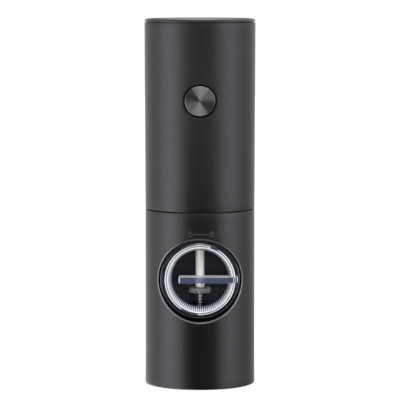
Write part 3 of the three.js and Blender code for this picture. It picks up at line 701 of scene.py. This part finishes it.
def top_cap():
    """The cap's plate with its polished chamfer, and its skirt inside the housing."""
    bottom, top = (corner.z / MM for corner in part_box("top_cap"))
    plate = 181.5
    edge = TOP_RADIUS - 0.1
    piece = lathe("cap", rounded([
        (0, plate), (23.2, plate), (23.2, bottom, 0.3), (24.9, bottom, 0.3), (24.9, plate), (edge, plate, 0.15),
        (edge, top - 0.8, 0.2), (edge - 0.6, top, 0.2), (edge - 1.3, top, 0.15), (edge - 1.4, top - 0.4, 0.1),
        (0, top - 0.4),
    ], closed=False), FINE)
    dress(piece, "top_cap", "gloss_black")
    for polygon in piece.data.polygons:
        if polygon.center.z > (plate + 0.05) * MM:
            polygon.material_index = 1


def lock_marks():
    """Generic open and closed padlock signs above the port, joined by a line, standing a hair proud."""
    proud, width = 0.03, 0.2
    mark_height = 77.4
    reach = 21.5 * math.sin(math.radians(14.5))  # of each padlock's middle from the line's middle
    half, low, high, bow = 0.9, -1.0, 0.4, 0.6  # a padlock's body, and its shackle's radius

    def on_wall(sideways, up):
        """A point of the flat drawing, laid on the housing's wall above the port."""
        z = mark_height + up
        radius = radius_at(z) + proud
        angle = sideways / radius
        return Vector((math.sin(angle) * radius, -math.cos(angle) * radius, z)) * MM

    def stroke(points):
        """A flat line along a path of the drawing."""
        left, right = [], []
        for i, (x, y) in enumerate(points):
            ahead = Vector(points[min(i + 1, len(points) - 1)]) - Vector(points[max(i - 1, 0)])
            side = Vector((-ahead.y, ahead.x)).normalized() * width / 2
            left.append(bm.verts.new(on_wall(x + side.x, y + side.y)))
            right.append(bm.verts.new(on_wall(x - side.x, y - side.y)))
        for k in range(len(points) - 1):
            bm.faces.new([left[k], left[k + 1], right[k + 1], right[k]])

    bm = bmesh.new()
    for side in (-1, 1):
        x = MARKS_SHIFT + side * reach
        body = [(x - half, low), (x + half, low), (x + half, high), (x - half, high), (x - half, low)]
        for line in zip(body, body[1:]):
            stroke(line)
        bend = high + 0.35
        foot = (x + bow, high if side > 0 else bend)  # the right one is closed
        stroke([(x - bow, high), *arc(x, bend, bow, 180, 0, 8), foot])
    stroke([(MARKS_SHIFT + (reach - 1.3) * i / 12, 0) for i in range(-12, 13)])
    mesh = bpy.data.meshes.new("lock_marks")
    bm.to_mesh(mesh)
    bm.free()
    detail(finish_mesh("lock_marks", mesh), "lower_housing", "mark_grey")


# ---------- the refill port
def bayonet_ring():
    """The ring round the port, whose front edge shows as a bright line: polished, and partly a painted highlight
    from a paler finish.
    """
    piece = lathe("port_ring", rounded([
        (19.7, LUG_BACK, 0.2), (19.7, LID_FLANGE_FRONT, 0.25), (19.05, LID_FLANGE_FRONT, 0.22), (19.05, 16),
        (17.85, 16, 0.15), (17.85, 15.2, 0.15), (18.9, 15.2), (18.9, LUG_BACK),
    ]), FINE, OUT_OF_PORT)
    dress(piece, "bayonet_ring", "port_edge")
    # partly painted highlight: the front edge takes the paler, polished port edge finish
    for polygon in piece.data.polygons:
        if -polygon.center.y / MM > LID_FLANGE_FRONT - 0.3:
            polygon.material_index = 1


def lid_outline():
    """The lid's section: floor, wall, flange, rim with a groove round it, and the bevel to the window."""
    outline = rounded([
        (0, LID_FLOOR_BACK), (LID_WALL, LID_FLOOR_BACK, 0.5), (LID_WALL, LID_FLANGE_BACK, 0.15),
        (LID_FLANGE, LID_FLANGE_BACK, 0.2), (LID_FLANGE, LID_FLANGE_FRONT, 0.3), (LID_WALL, LID_FLANGE_FRONT, 0.2),
        (LID_WALL, LID_RIM, 0.4), (RIM_GROOVE + 0.2, LID_RIM, 0.1), (RIM_GROOVE, LID_RIM - 0.35, 0.1),
        (RIM_GROOVE - 0.2, LID_RIM, 0.1), (LID_BORE, LID_RIM, 0.4), (LID_BORE, LID_BEVEL_FRONT),
    ], closed=False)
    bevel, steps = Vector((LID_WINDOW - LID_BORE, LID_FLOOR_FRONT - LID_BEVEL_FRONT)), 8
    outline += [Vector((LID_BORE, LID_BEVEL_FRONT)) + bevel * k / steps for k in range(1, steps + 1)]
    return outline + [(radius, LID_FLOOR_FRONT - 0.05) for radius in (LID_WINDOW - 0.4, 7, 0)]


def lid_flute(radius, distance, angle):
    """Fine flutes on the bevel, deepest in its middle."""
    if not LID_WINDOW + 0.01 < radius < LID_BORE - 0.01 or not LID_FLOOR_FRONT < distance < LID_BEVEL_FRONT:
        return radius
    share = math.sin(math.pi * (distance - LID_FLOOR_FRONT) / (LID_BEVEL_FRONT - LID_FLOOR_FRONT))
    return radius + LID_FLUTE_DEPTH * share * math.cos(LID_FLUTES * angle)


def lug(at):
    """One of the lid's bayonet lugs, at an angle."""
    start, end = at - LUG_WIDTH / 2, at + LUG_WIDTH / 2
    corners = arc(0, 0, LUG_RADIUS, start, end, 8) + arc(0, 0, LID_WALL - 0.5, end, start, 8)
    return prism("lug_tool", corners, LUG_BACK, LUG_FRONT, OUT_OF_PORT, bevel=0.12)


def finger_rib():
    """The bar that crosses the lid, with a rounded free end and soft edges."""
    side = rounded([
        (RIB_LEFT, LID_FLOOR_FRONT - 0.5), (RIB_LEFT, RIB_FRONT, 1.2), (LID_BORE - 3, RIB_FRONT, 1.2),
        (RIB_RIGHT, LID_RIM - 1, 0.5), (RIB_RIGHT, LID_FLANGE_FRONT - 0.4, 0.3),
        (LID_BORE + 0.6, LID_FLANGE_FRONT - 0.4), (LID_BORE + 0.6, LID_FLOOR_FRONT - 0.5),
    ])
    rib = prism("rib_tool", side, -RIB_HALF, RIB_HALF, OUT_OF_PORT @ TURNED_OUT, bevel=0.16)
    left, half, right = RIB_LEFT - 0.02, RIB_HALF + 0.02, RIB_RIGHT + 2
    front = rounded([(left, -half, 0.9), (right, -half), (right, half), (left, half, 0.9)])
    end = prism("rib_end_tool", front, LID_FLOOR_FRONT - 1, RIB_FRONT + 1, OUT_OF_PORT)
    return combine(rib, end, operation="INTERSECT")


def refill_lid():
    """The clear lid. Its finishes are the window's, then the rim's, painted near white for the light it gathers,
    the flutes' painted light and shade, and the rib's two: its navy body and a painted lit copy for its top.
    """
    window, rim, flutes, rib_body, rib_lit_upper = range(5)
    piece = lathe("clear_lid", lid_outline(), LID_FLUTES * 4, OUT_OF_PORT, lid_flute, sharp_degrees=40)
    combine(piece, finger_rib(), *[lug(at) for at in LUG_AT], operation="UNION", sharp_degrees=40)
    dress(piece, "lid", "bright_rim", "fluted_rim", "rib_face", "rib_top_lit")
    piece.visible_shadow = False
    for polygon in piece.data.polygons:
        across, out = port_distance(polygon.center), -polygon.center.y / MM
        aside, up = polygon.center.x / MM, polygon.center.z / MM - PORT_HEIGHT
        if aside > RIB_LEFT - 0.1 and abs(up) < RIB_HALF + 0.01 and out > LID_FLOOR_FRONT + 0.2:
            # painted light: the rib's upper faces take a pale lit copy of its plastic, and its ends and edges the
            # rim's painted white
            if -polygon.normal.y > 0.85:
                zone = rib_body
            elif abs(polygon.normal.z) > 0.95:
                zone = rib_lit_upper if polygon.normal.z > 0 else window
            else:
                zone = rim
        elif LID_BORE - 0.2 < across < LID_WALL + 0.05 and out > LID_RIM - 0.5:
            at = math.degrees(math.atan2(up, aside)) % 360
            # painted shade: over the lugs, where they block the light, and along the groove, the rim takes the
            # rib's dark navy
            in_lug_shadow = across > RIM_GROOVE and (59 < at < 76 or 237 < at < 266)
            zone = rib_body if in_lug_shadow or abs(across - RIM_GROOVE) < 0.22 else rim
        elif LID_WINDOW < across < LID_BORE + 0.1 and LID_FLOOR_FRONT < out < LID_RIM - 0.5:
            zone = flutes
        else:
            zone = window
        polygon.material_index = zone


def pointer():
    """The lid's raised pointer, and the mark of its moulding gate at the bottom."""
    radius = LID_WALL - 0.35
    for name, at, size in (("lid_pointer", POINTER_AT, 0.85), ("lid_notch", -91, 0.5)):
        corners = [(-size, radius - size * 0.7), (size, radius - size * 0.7), (0, radius + size * 0.8)]
        place = OUT_OF_PORT @ about_z(at - 90)
        # Both take the rim's near-white finish: painted light standing in for what the clear plastic gathers.
        detail(prism(name, corners, LID_RIM - 0.3, LID_RIM + 0.25, place, bevel=0.08), "lid", "bright_rim")


# ---------- inside the lower half
def pepper_chamber():
    """A cup with a funnel floor, whose front is cut off flat and closed by a wall with the port in it."""
    cup = lathe("chamber", rounded([
        (11.9, CHAMBER_BOTTOM, 0.4), (CHAMBER_RADIUS, CHAMBER_BOTTOM, 0.4), (CHAMBER_RADIUS, CHAMBER_TOP, 0.4),
        (CHAMBER_BORE, CHAMBER_TOP, 0.4), (CHAMBER_BORE, 45, 3), (11.9, 33, 0.8),
    ]), ROUND)
    combine(cup, prism("pocket_tool", [(-40, -40), (40, -40), (40, -FLAT_FRONT), (-40, -FLAT_FRONT)], 33, 90))
    wall = [(-20.6, -FLAT_FRONT), (20.6, -FLAT_FRONT), (19.8, -FLAT_BACK), (-19.8, -FLAT_BACK)]
    combine(cup, prism("wall_tool", wall, CHAMBER_BOTTOM + 0.6, CHAMBER_TOP - 0.05), operation="UNION")
    combine(cup, rod("mouth_tool", 17.9, 5, 30, OUT_OF_PORT, FINE))
    dress(cup, "pepper_chamber").data.materials[0] = FINISHES["chamber_black"]


def drive_line():
    """Shaft, sleeve with its small slot, collar, hexagon head and the burr's spring."""
    turned("drive_shaft", "shaft", [(0, 4.2), (1.5, 4.2, 0.3), (1.5, 86, 0.3), (0, 86)], SMALL, closed=False)
    slot = prism("slot_tool", [(0.55, -3), (1.05, -3), (1.05, 0), (0.55, 0)], 47, 50.6)
    turned("shaft_sleeve", "sleeve", [
        (SHAFT_BORE, 48.3), (2.2, 48.3, 0.1), (2.2, 76.3, 0.15), (SHAFT_BORE, 76.3),
    ], cut=[slot])
    turned("shaft_collar", "collar", [
        (SHAFT_BORE, 45.5), (4.9, 45.5, 0.3), (5.5, 46.1, 0.3), (5.5, 48, 0.25), (3.6, 48, 0.2), (3.4, 47.65, 0.2),
        (SHAFT_BORE, 47.65),
    ])
    head = hexagon("head", 3.58, 81.3, 90.3, bevel=0.35)
    dress(combine(head, rod("bore_tool", 1.8, 80, 86.3)), "drive_head")
    spring = dress(tube("burr_coil", helix_points(2.2, 38.8, 45.1, 4), 0.25), "burr_spring")
    spring.data.materials[0] = FINISHES["dark_steel"]


def fluted_lathe(name, profile, depth, twist, bore=0.0, count=20, steps=6):
    """A turned ceramic body with pointed flutes that twist as they rise. A bore makes it a cone on a shaft."""
    outline = []
    for (r0, z0), (r1, z1) in zip(profile, profile[1:]):
        outline += [(r0 + (r1 - r0) * k / steps, z0 + (z1 - z0) * k / steps) for k in range(steps)]
    bottom, top = profile[0][1], profile[-1][1]

    def flute(radius, height, angle):
        phase = ((angle - math.radians(twist * (height - bottom))) * count / (2 * math.pi)) % 1
        return radius - depth * (1 - abs(2 * phase - 1)) if radius > bore + 0.01 else radius

    section = [*outline, profile[-1], (bore, top), (bore, bottom)]
    return lathe(name, section, count * 8, flute=flute, sharp_degrees=45)


def burrs():
    """The fluted cone and the ring it turns in."""
    cone = [(12, 12), (11.2, 15), (8, 24), (4.2, 30), (2.8, 38)]
    dress(fluted_lathe("burr_inner", cone, 0.7, 2, SHAFT_BORE), "inner_burr")
    block = rounded([(0, 12.4), (16, 12.4, 0.4), (16, 29.8, 0.4), (0, 29.8)], closed=False)
    body = lathe("burr_outer", block, 160)
    cavity = [(13.2, 11.5), (12.6, 16), (12.3, 22), (12.3, 31)]
    combine(body, fluted_lathe("cavity_tool", cavity, 0.6, -2), sharp_degrees=45)
    dress(body, "outer_burr")


def screw_holes(orbit, angles, bottom, top):
    """Tools for a ring of screw holes."""
    return [rod(f"hole_tool_{at}", SCREW_HOLE, bottom, top, on_circle(orbit, at)) for at in angles]


def base_pieces():
    """The burrs' housing, and the ring that is screwed under it."""
    turned("grinder_housing", "burr_housing", [
        (14.5, 10.5, 0.3), (24.2, 10.5, 0.3), (24.2, 13, 0.3), (20.8, 13, 0.5), (20.8, 30.5, 0.5),
        (16.3, 30.5, 0.3), (16.3, 12.1, 0.2), (14.5, 12.1, 0.3),
    ])
    turned("base_ring", "foot_ring", [
        (14, 7.5, 0.4), (23, 7.5, 0.6), (23, 3, 0.3), (24.3, 3, 0.3), (24.3, 10.2, 0.3), (14, 10.2, 0.3),
    ], cut=screw_holes(*BASE_SCREWS, 7, 11))


def adjust_knob():
    """A lobed disc with a dished underside, on a boss round the shaft."""
    lobes, radius, depth, points = 8, 8.4, 0.7, 160
    corners = []
    for i in range(points):
        angle = 2 * math.pi * i / points
        reach = radius - depth + depth * math.cos(lobes * angle)
        corners.append((reach * math.cos(angle), reach * math.sin(angle)))
    knob = prism("knob", corners, 3.4, 7, bevel=0.45, sharp_degrees=40)
    boss = lathe("boss_tool", rounded([(0, 6.5), (4, 6.5), (4, 11.6, 0.3), (0, 11.6)], closed=False), SMALL)
    combine(knob, boss, operation="UNION")
    dish = lathe("dish_tool", rounded([(0, 3), (5.6, 3), (5.2, 3.9, 0.3), (0, 3.9)], closed=False), ROUND)
    combine(knob, dish, rod("bore_tool", SHAFT_BORE, 2, 13))
    dress(knob, "adjust_knob")


def screws(prefix, orbit, angles, face, head_to, shank_to):
    """Round-headed screws with a cross recess, their heads facing away from their shanks."""
    out = 1 if face > head_to else -1
    section = rounded([
        (0, face), (1.9, face, 0.5), (2.5, face - out * 0.75, 0.3), (2.5, head_to, 0.1), (1.1, head_to),
        (1.1, shank_to + out * 0.3), (0.8, shank_to), (0, shank_to),
    ], closed=False)
    arm = [(-1.3, -0.28), (1.3, -0.28), (1.3, 0.28), (-1.3, 0.28)]
    recess = sorted((face + out * 0.2, face - out * 0.8))
    for i, at in enumerate(angles, 1):
        place = on_circle(orbit, at)
        body = lathe(f"{prefix}_{i}_turned", section, SMALL, place)
        for turn in (0, 90):
            combine(body, prism("recess_tool", arm, *recess, place @ about_z(turn)))
        dress(body, f"{prefix}_{i}")


# ---------- inside the upper half
def chassis():
    """The upper half's floor, with three posts for the motor's bracket."""
    orbit, angles = BRACKET_SCREWS
    posts = [rod(f"post_tool_{at}", 2.3, 90, 129, on_circle(orbit, at)) for at in angles]
    turned("chassis", "upper_floor", [
        (5.8, 88.6, 0.3), (22.8, 88.6, 0.5), (22.8, 81.8, 0.3), (24.4, 81.8, 0.4), (24.4, 91, 0.2), (5.8, 91, 0.3),
    ], joined=posts)


def output_hub():
    """The gearbox's output, whose hexagon socket takes the drive head."""
    pins = [rod(f"pin_tool_{at}", 1, 94, 98, on_circle(7.5, at), SMALL // 2) for at in (0, 120, 240)]
    turned("output_carrier", "output_stage_hub", [
        (0, 82.5), (5.3, 82.5, 0.4), (5.3, 93.2), (9.6, 93.2, 0.2), (9.6, 94.3, 0.2), (0, 94.3),
    ], closed=False, joined=pins, cut=[hexagon("socket_tool", 3.926, 82, 91)])


def motor_bracket():
    """The plate over the motor, notched for the leads."""
    section = [(3, 129.3, 0.2), (24, 129.3, 0.3), (24, 131, 0.3), (3, 131, 0.3)]
    notch = prism("notch_tool", [(-9, -40), (-2.6, -40), (-2.6, -17.6), (-9, -17.6)], 128, 133)
    turned("motor_bracket", "bracket", section, cut=[*screw_holes(*BRACKET_SCREWS, 128, 133), notch])


def batteries():
    """Four cells, every other one upside down, with a plain metal band round the upper end."""
    radius, orbit, count = 5.2, 7.9, 4
    nose, nose_radius = 0.9, 1.9
    cap_radius = radius - 0.7  # of the bare metal at each end
    band_from, band_to = 8, 9  # of the band's edges from the cell's end
    bottom, top = CELL_BOTTOM, CELL_BOTTOM + CELL_LENGTH
    outline = rounded([
        (0, bottom), (radius, bottom, 0.5), (radius, top - nose, 0.6), (nose_radius, top - nose, 0.1),
        (nose_radius, top, 0.3), (0, top),
    ], closed=False)
    flip = Matrix.Translation((0, 0, bottom + top)) @ Matrix.Rotation(math.pi, 4, "X")
    for i in range(count):
        upright = i % 2 == 0
        place = on_circle(orbit, 45 + 360 * i / count)
        piece = lathe(f"cell_{i + 1}", outline, SMALL * 2, place if upright else place @ flip)
        dress(piece, f"battery_{i + 1}", "steel")
        axis = (scaled(place) @ Vector((0, 0, 0))).xy
        for polygon in piece.data.polygons:
            wrapped = bottom + nose + 0.15 < polygon.center.z / MM < top - nose - 0.15
            if not wrapped and (polygon.center.xy - axis).length < cap_radius * MM:
                polygon.material_index = 1
        low, high = (top - band_to, top - band_from) if upright else (bottom + band_from, bottom + band_to)
        inside, outside = radius - 0.1, radius + 0.03
        band = [(inside, low), (outside, low), (outside, high), (inside, high)]
        detail(lathe(f"cell_{i + 1}_band", band, SMALL * 2, place), f"battery_{i + 1}", "steel")


def battery_carrier():
    """Two plates on a post, below and above the cells."""
    radius, thickness, gap, post = 15, 1.5, 0.3, 2.2
    low, high = CELL_BOTTOM - gap, CELL_BOTTOM + CELL_LENGTH + gap
    turned("battery_carrier", "cell_holder", [
        (0, low - thickness), (radius, low - thickness, 0.3), (radius, low, 0.3), (post, low, 0.3),
        (post, high, 0.3), (radius, high, 0.3), (radius, high + thickness, 0.3), (0, high + thickness),
    ], closed=False)


# ---------- the thumb button
def thumb_button():
    """The button's face, its plunger and its spring."""
    place = out_of_front(BUTTON_HEIGHT)
    dish = 0.05
    cap = lathe("button_face", rounded([
        (0, CAP_BACK), (CAP_RADIUS, CAP_BACK), (CAP_RADIUS, CAP_FACE, 0.3), (CAP_RADIUS - 0.8, CAP_FACE),
        (4, CAP_FACE - dish / 2), (0.25, CAP_FACE - dish), (0, CAP_FACE - dish),
    ], closed=False), ROUND, place)
    dress(cap, "button_cap")
    plunger = lathe("button_body", rounded([
        (0, 21.4), (2.5, 21.4, 0.2), (2.5, 21.9), (9.3, 21.9, 0.2), (9.3, 22.9, 0.2), (7.1, 22.9), (7.1, 24.7),
        (0, 24.7),
    ], closed=False), ROUND, place)
    dress(plunger, "button_plunger")
    dress(tube("button_coil", helix_points(6.2, 19.9, 21.5, 1.5), 0.25, place=place), "button_spring")


# ---------- camera, light and floor
def aimed(eye, target):
    """The turn of a camera or a light that looks from one point at another."""
    return (target - eye).to_track_quat("-Z", "Y").to_euler()


def aim_camera():
    """The eye stands about seven mill heights in front, a little above the mill, and looks at its middle."""
    height = CAD_BOX[1].z
    data = bpy.data.cameras.new("camera")
    data.sensor_width = 36
    data.lens = 233.9
    data.dof.use_dof = False
    data.clip_start, data.clip_end = 0.05, 20
    camera = bpy.data.objects.new("camera", data)
    camera.location = Vector((0, -7.1 * height, 1.13 * height))
    camera.rotation_euler = aimed(camera.location, Vector((0, 0, 0.5033 * height)))
    bpy.context.scene.collection.objects.link(camera)
    bpy.context.scene.camera = camera


def studio_world():
    """A pale tent round the mill: a dark gap behind the camera, tall soft boxes to its sides, a bright ceiling."""
    world = bpy.data.worlds.new("studio")
    graph = Graph(world)
    maths = graph.maths
    x, y, z = graph.split(graph.node("ShaderNodeTexCoord").outputs["Generated"])
    turn = maths("ARCTAN2", maths("ABSOLUTE", x), maths("MULTIPLY", y, -1))
    share = maths("DIVIDE", turn, math.pi)  # 0 in front of the mill, 1 behind it
    low = graph.level(share, [
        (0.0, 0.1), (0.1, 0.11), (0.16, 0.33), (0.23, 1.25), (0.31, 2.8), (0.41, 2.95),
        (0.49, 1.3), (0.6, 0.62), (0.8, 0.75), (1.0, 1.1),
    ])
    side = maths("SUBTRACT", 1, maths("MULTIPLY", x, 0.04))  # the right is a little dimmer
    right = maths("MULTIPLY", maths("MAXIMUM", x, 0), maths("MINIMUM", maths("ADD", z, 0.06), 0))
    fall = maths("ADD", maths("MULTIPLY", maths("MAXIMUM", right, -0.08), 5.8), 1)
    low = maths("MULTIPLY", low, maths("MULTIPLY", side, fall))  # and dims towards the foot
    high = graph.level(share, [(0.0, 1.7), (0.17, 1.6), (0.30, 0.7), (0.6, 0.5), (1.0, 0.8)])
    lift = graph.level(maths("ADD", maths("MULTIPLY", z, 0.5), 0.5), [
        (0.0, 0.6), (0.30, 0.6), (0.40, 0.0), (0.60, 0.0), (0.72, 1.0), (1.0, 1.0),
    ])
    mixed = maths("ADD", maths("MULTIPLY", low, maths("SUBTRACT", 1, lift)), maths("MULTIPLY", high, lift))
    corner = maths("MAXIMUM", maths("MULTIPLY", x, z), 0)  # the upper right and lower left are brighter
    mixed = maths("ADD", mixed, maths("MULTIPLY", corner, 1.5))
    seen = graph.node("ShaderNodeLightPath").outputs["Is Camera Ray"]  # the backdrop itself is plain white
    strength = maths("ADD", maths("MULTIPLY", mixed, maths("SUBTRACT", 1, seen)), seen)
    graph.feed(strength, graph.nodes["Background"].inputs["Strength"])
    graph.feed((1, 1, 1, 1), graph.nodes["Background"].inputs["Color"])
    bpy.context.scene.world = world


def shown(name, bm, place=UPRIGHT):
    """Puts a mesh in metres into the scene."""
    bm.transform(place)
    mesh = bpy.data.meshes.new(name)
    bm.to_mesh(mesh)
    bm.free()
    made = bpy.data.objects.new(name, mesh)
    bpy.context.scene.collection.objects.link(made)
    return made


def black_flag():
    """A studio flag low in front of the mill. Only reflections see it: it keeps the lower half's middle dark."""
    width, height, middle = 0.144, 0.4, (0.01, -0.11, -0.116)
    bm = bmesh.new()
    bmesh.ops.create_grid(bm, x_segments=1, y_segments=1, size=0.5)
    flag = shown("flag", bm, Matrix.Translation(middle) @ TURNED_OUT @ Matrix.Diagonal((width, height, 1, 1)))
    made = Shader("flag", Roughness=1.0, Base_Color=(0, 0, 0, 1), Specular_IOR_Level=0.0)
    flag.data.materials.append(made.material)
    flag.visible_camera = False
    flag.visible_diffuse = False
    flag.visible_transmission = False
    flag.visible_shadow = False


def front_light():
    """A soft box in front, above the camera. It fills the port, and polished faces don't mirror it."""
    data = bpy.data.lights.new("front_light", "AREA")
    data.shape, data.size, data.energy = "DISK", 0.5, 4.2
    light = bpy.data.objects.new("front_light", data)
    light.location = (0.1, -1.25, 0.5)
    light.rotation_euler = aimed(light.location, Vector((0, 0, 0.06)))
    light.visible_glossy = False
    bpy.context.scene.collection.objects.link(light)


def pale_floor():
    """A round white floor with a little light of its own, which is clear when seen from below."""
    bm = bmesh.new()
    bmesh.ops.create_circle(bm, cap_ends=True, segments=96, radius=3)
    floor = shown("floor", bm)
    made = Shader("floor", Roughness=0.8, Base_Color=(0.9, 0.9, 0.9, 1), Emission_Color=(1, 1, 1, 1),
                  Emission_Strength=0.35)
    mix = made.node("ShaderNodeMixShader")
    made.feed(made.node("ShaderNodeNewGeometry").outputs["Backfacing"], mix.inputs["Fac"])
    made.feed(made.surface.outputs["BSDF"], mix.inputs[1])
    made.feed(made.node("ShaderNodeBsdfTransparent").outputs["BSDF"], mix.inputs[2])
    made.feed(mix.outputs["Shader"], made.nodes["Material Output"].inputs["Surface"])
    floor.data.materials.append(made.material)
    floor.visible_glossy = False


# ---------- the whole mill
for name, node in frame["nodes"].items():
    node.data.materials.clear()
    node.data.materials.append(FINISHES[SLOT_OF[name]])

aim_camera()
studio_world()
pale_floor()
black_flag()
front_light()

lower_housing()
upper_housing()
top_cap()
lock_marks()
bayonet_ring()
dress(lathe("seal", arc(18.18, 16.7, 0.45, 0, 330, 11), ROUND, OUT_OF_PORT), "lid_seal")
refill_lid()
pointer()
pepper_chamber()
turned("chamber_top", "chamber_cover", [(4.3, 77.1, 0.2), (24.2, 77.1, 0.3), (24.2, 79.6, 0.5), (4.3, 79.6, 0.3)])
turned("shaft_bush", "bush", [
    (SHAFT_BORE, 76.6, 0.1), (4, 76.6, 0.2), (4, 79.9), (5.6, 79.9, 0.15), (5.6, 80.9, 0.25),
    (SHAFT_BORE, 80.9, 0.2),
], SMALL * 2)
drive_line()
burrs()
base_pieces()
adjust_knob()
screws("base_screw", *BASE_SCREWS, 5.8, 7.2, 16)
screws("bracket_screw", *BRACKET_SCREWS, 132.7, 131.3, 124)
chassis()
output_hub()
motor_bracket()
turned("battery_sleeve", "bay_sleeve", [
    (15.4, 131.3, 0.2), (16.6, 131.3, 0.2), (16.6, 175.5, 0.4), (15.4, 175.5, 0.4),
])
turned("bay_contact", "bay_plate", [(0, 131.3), (5, 131.3, 0.1), (5, 131.9, 0.2), (0, 131.9)], SMALL, closed=False)
batteries()
battery_carrier()
thumb_button()

bpy.context.scene.view_settings.view_transform = "Standard"
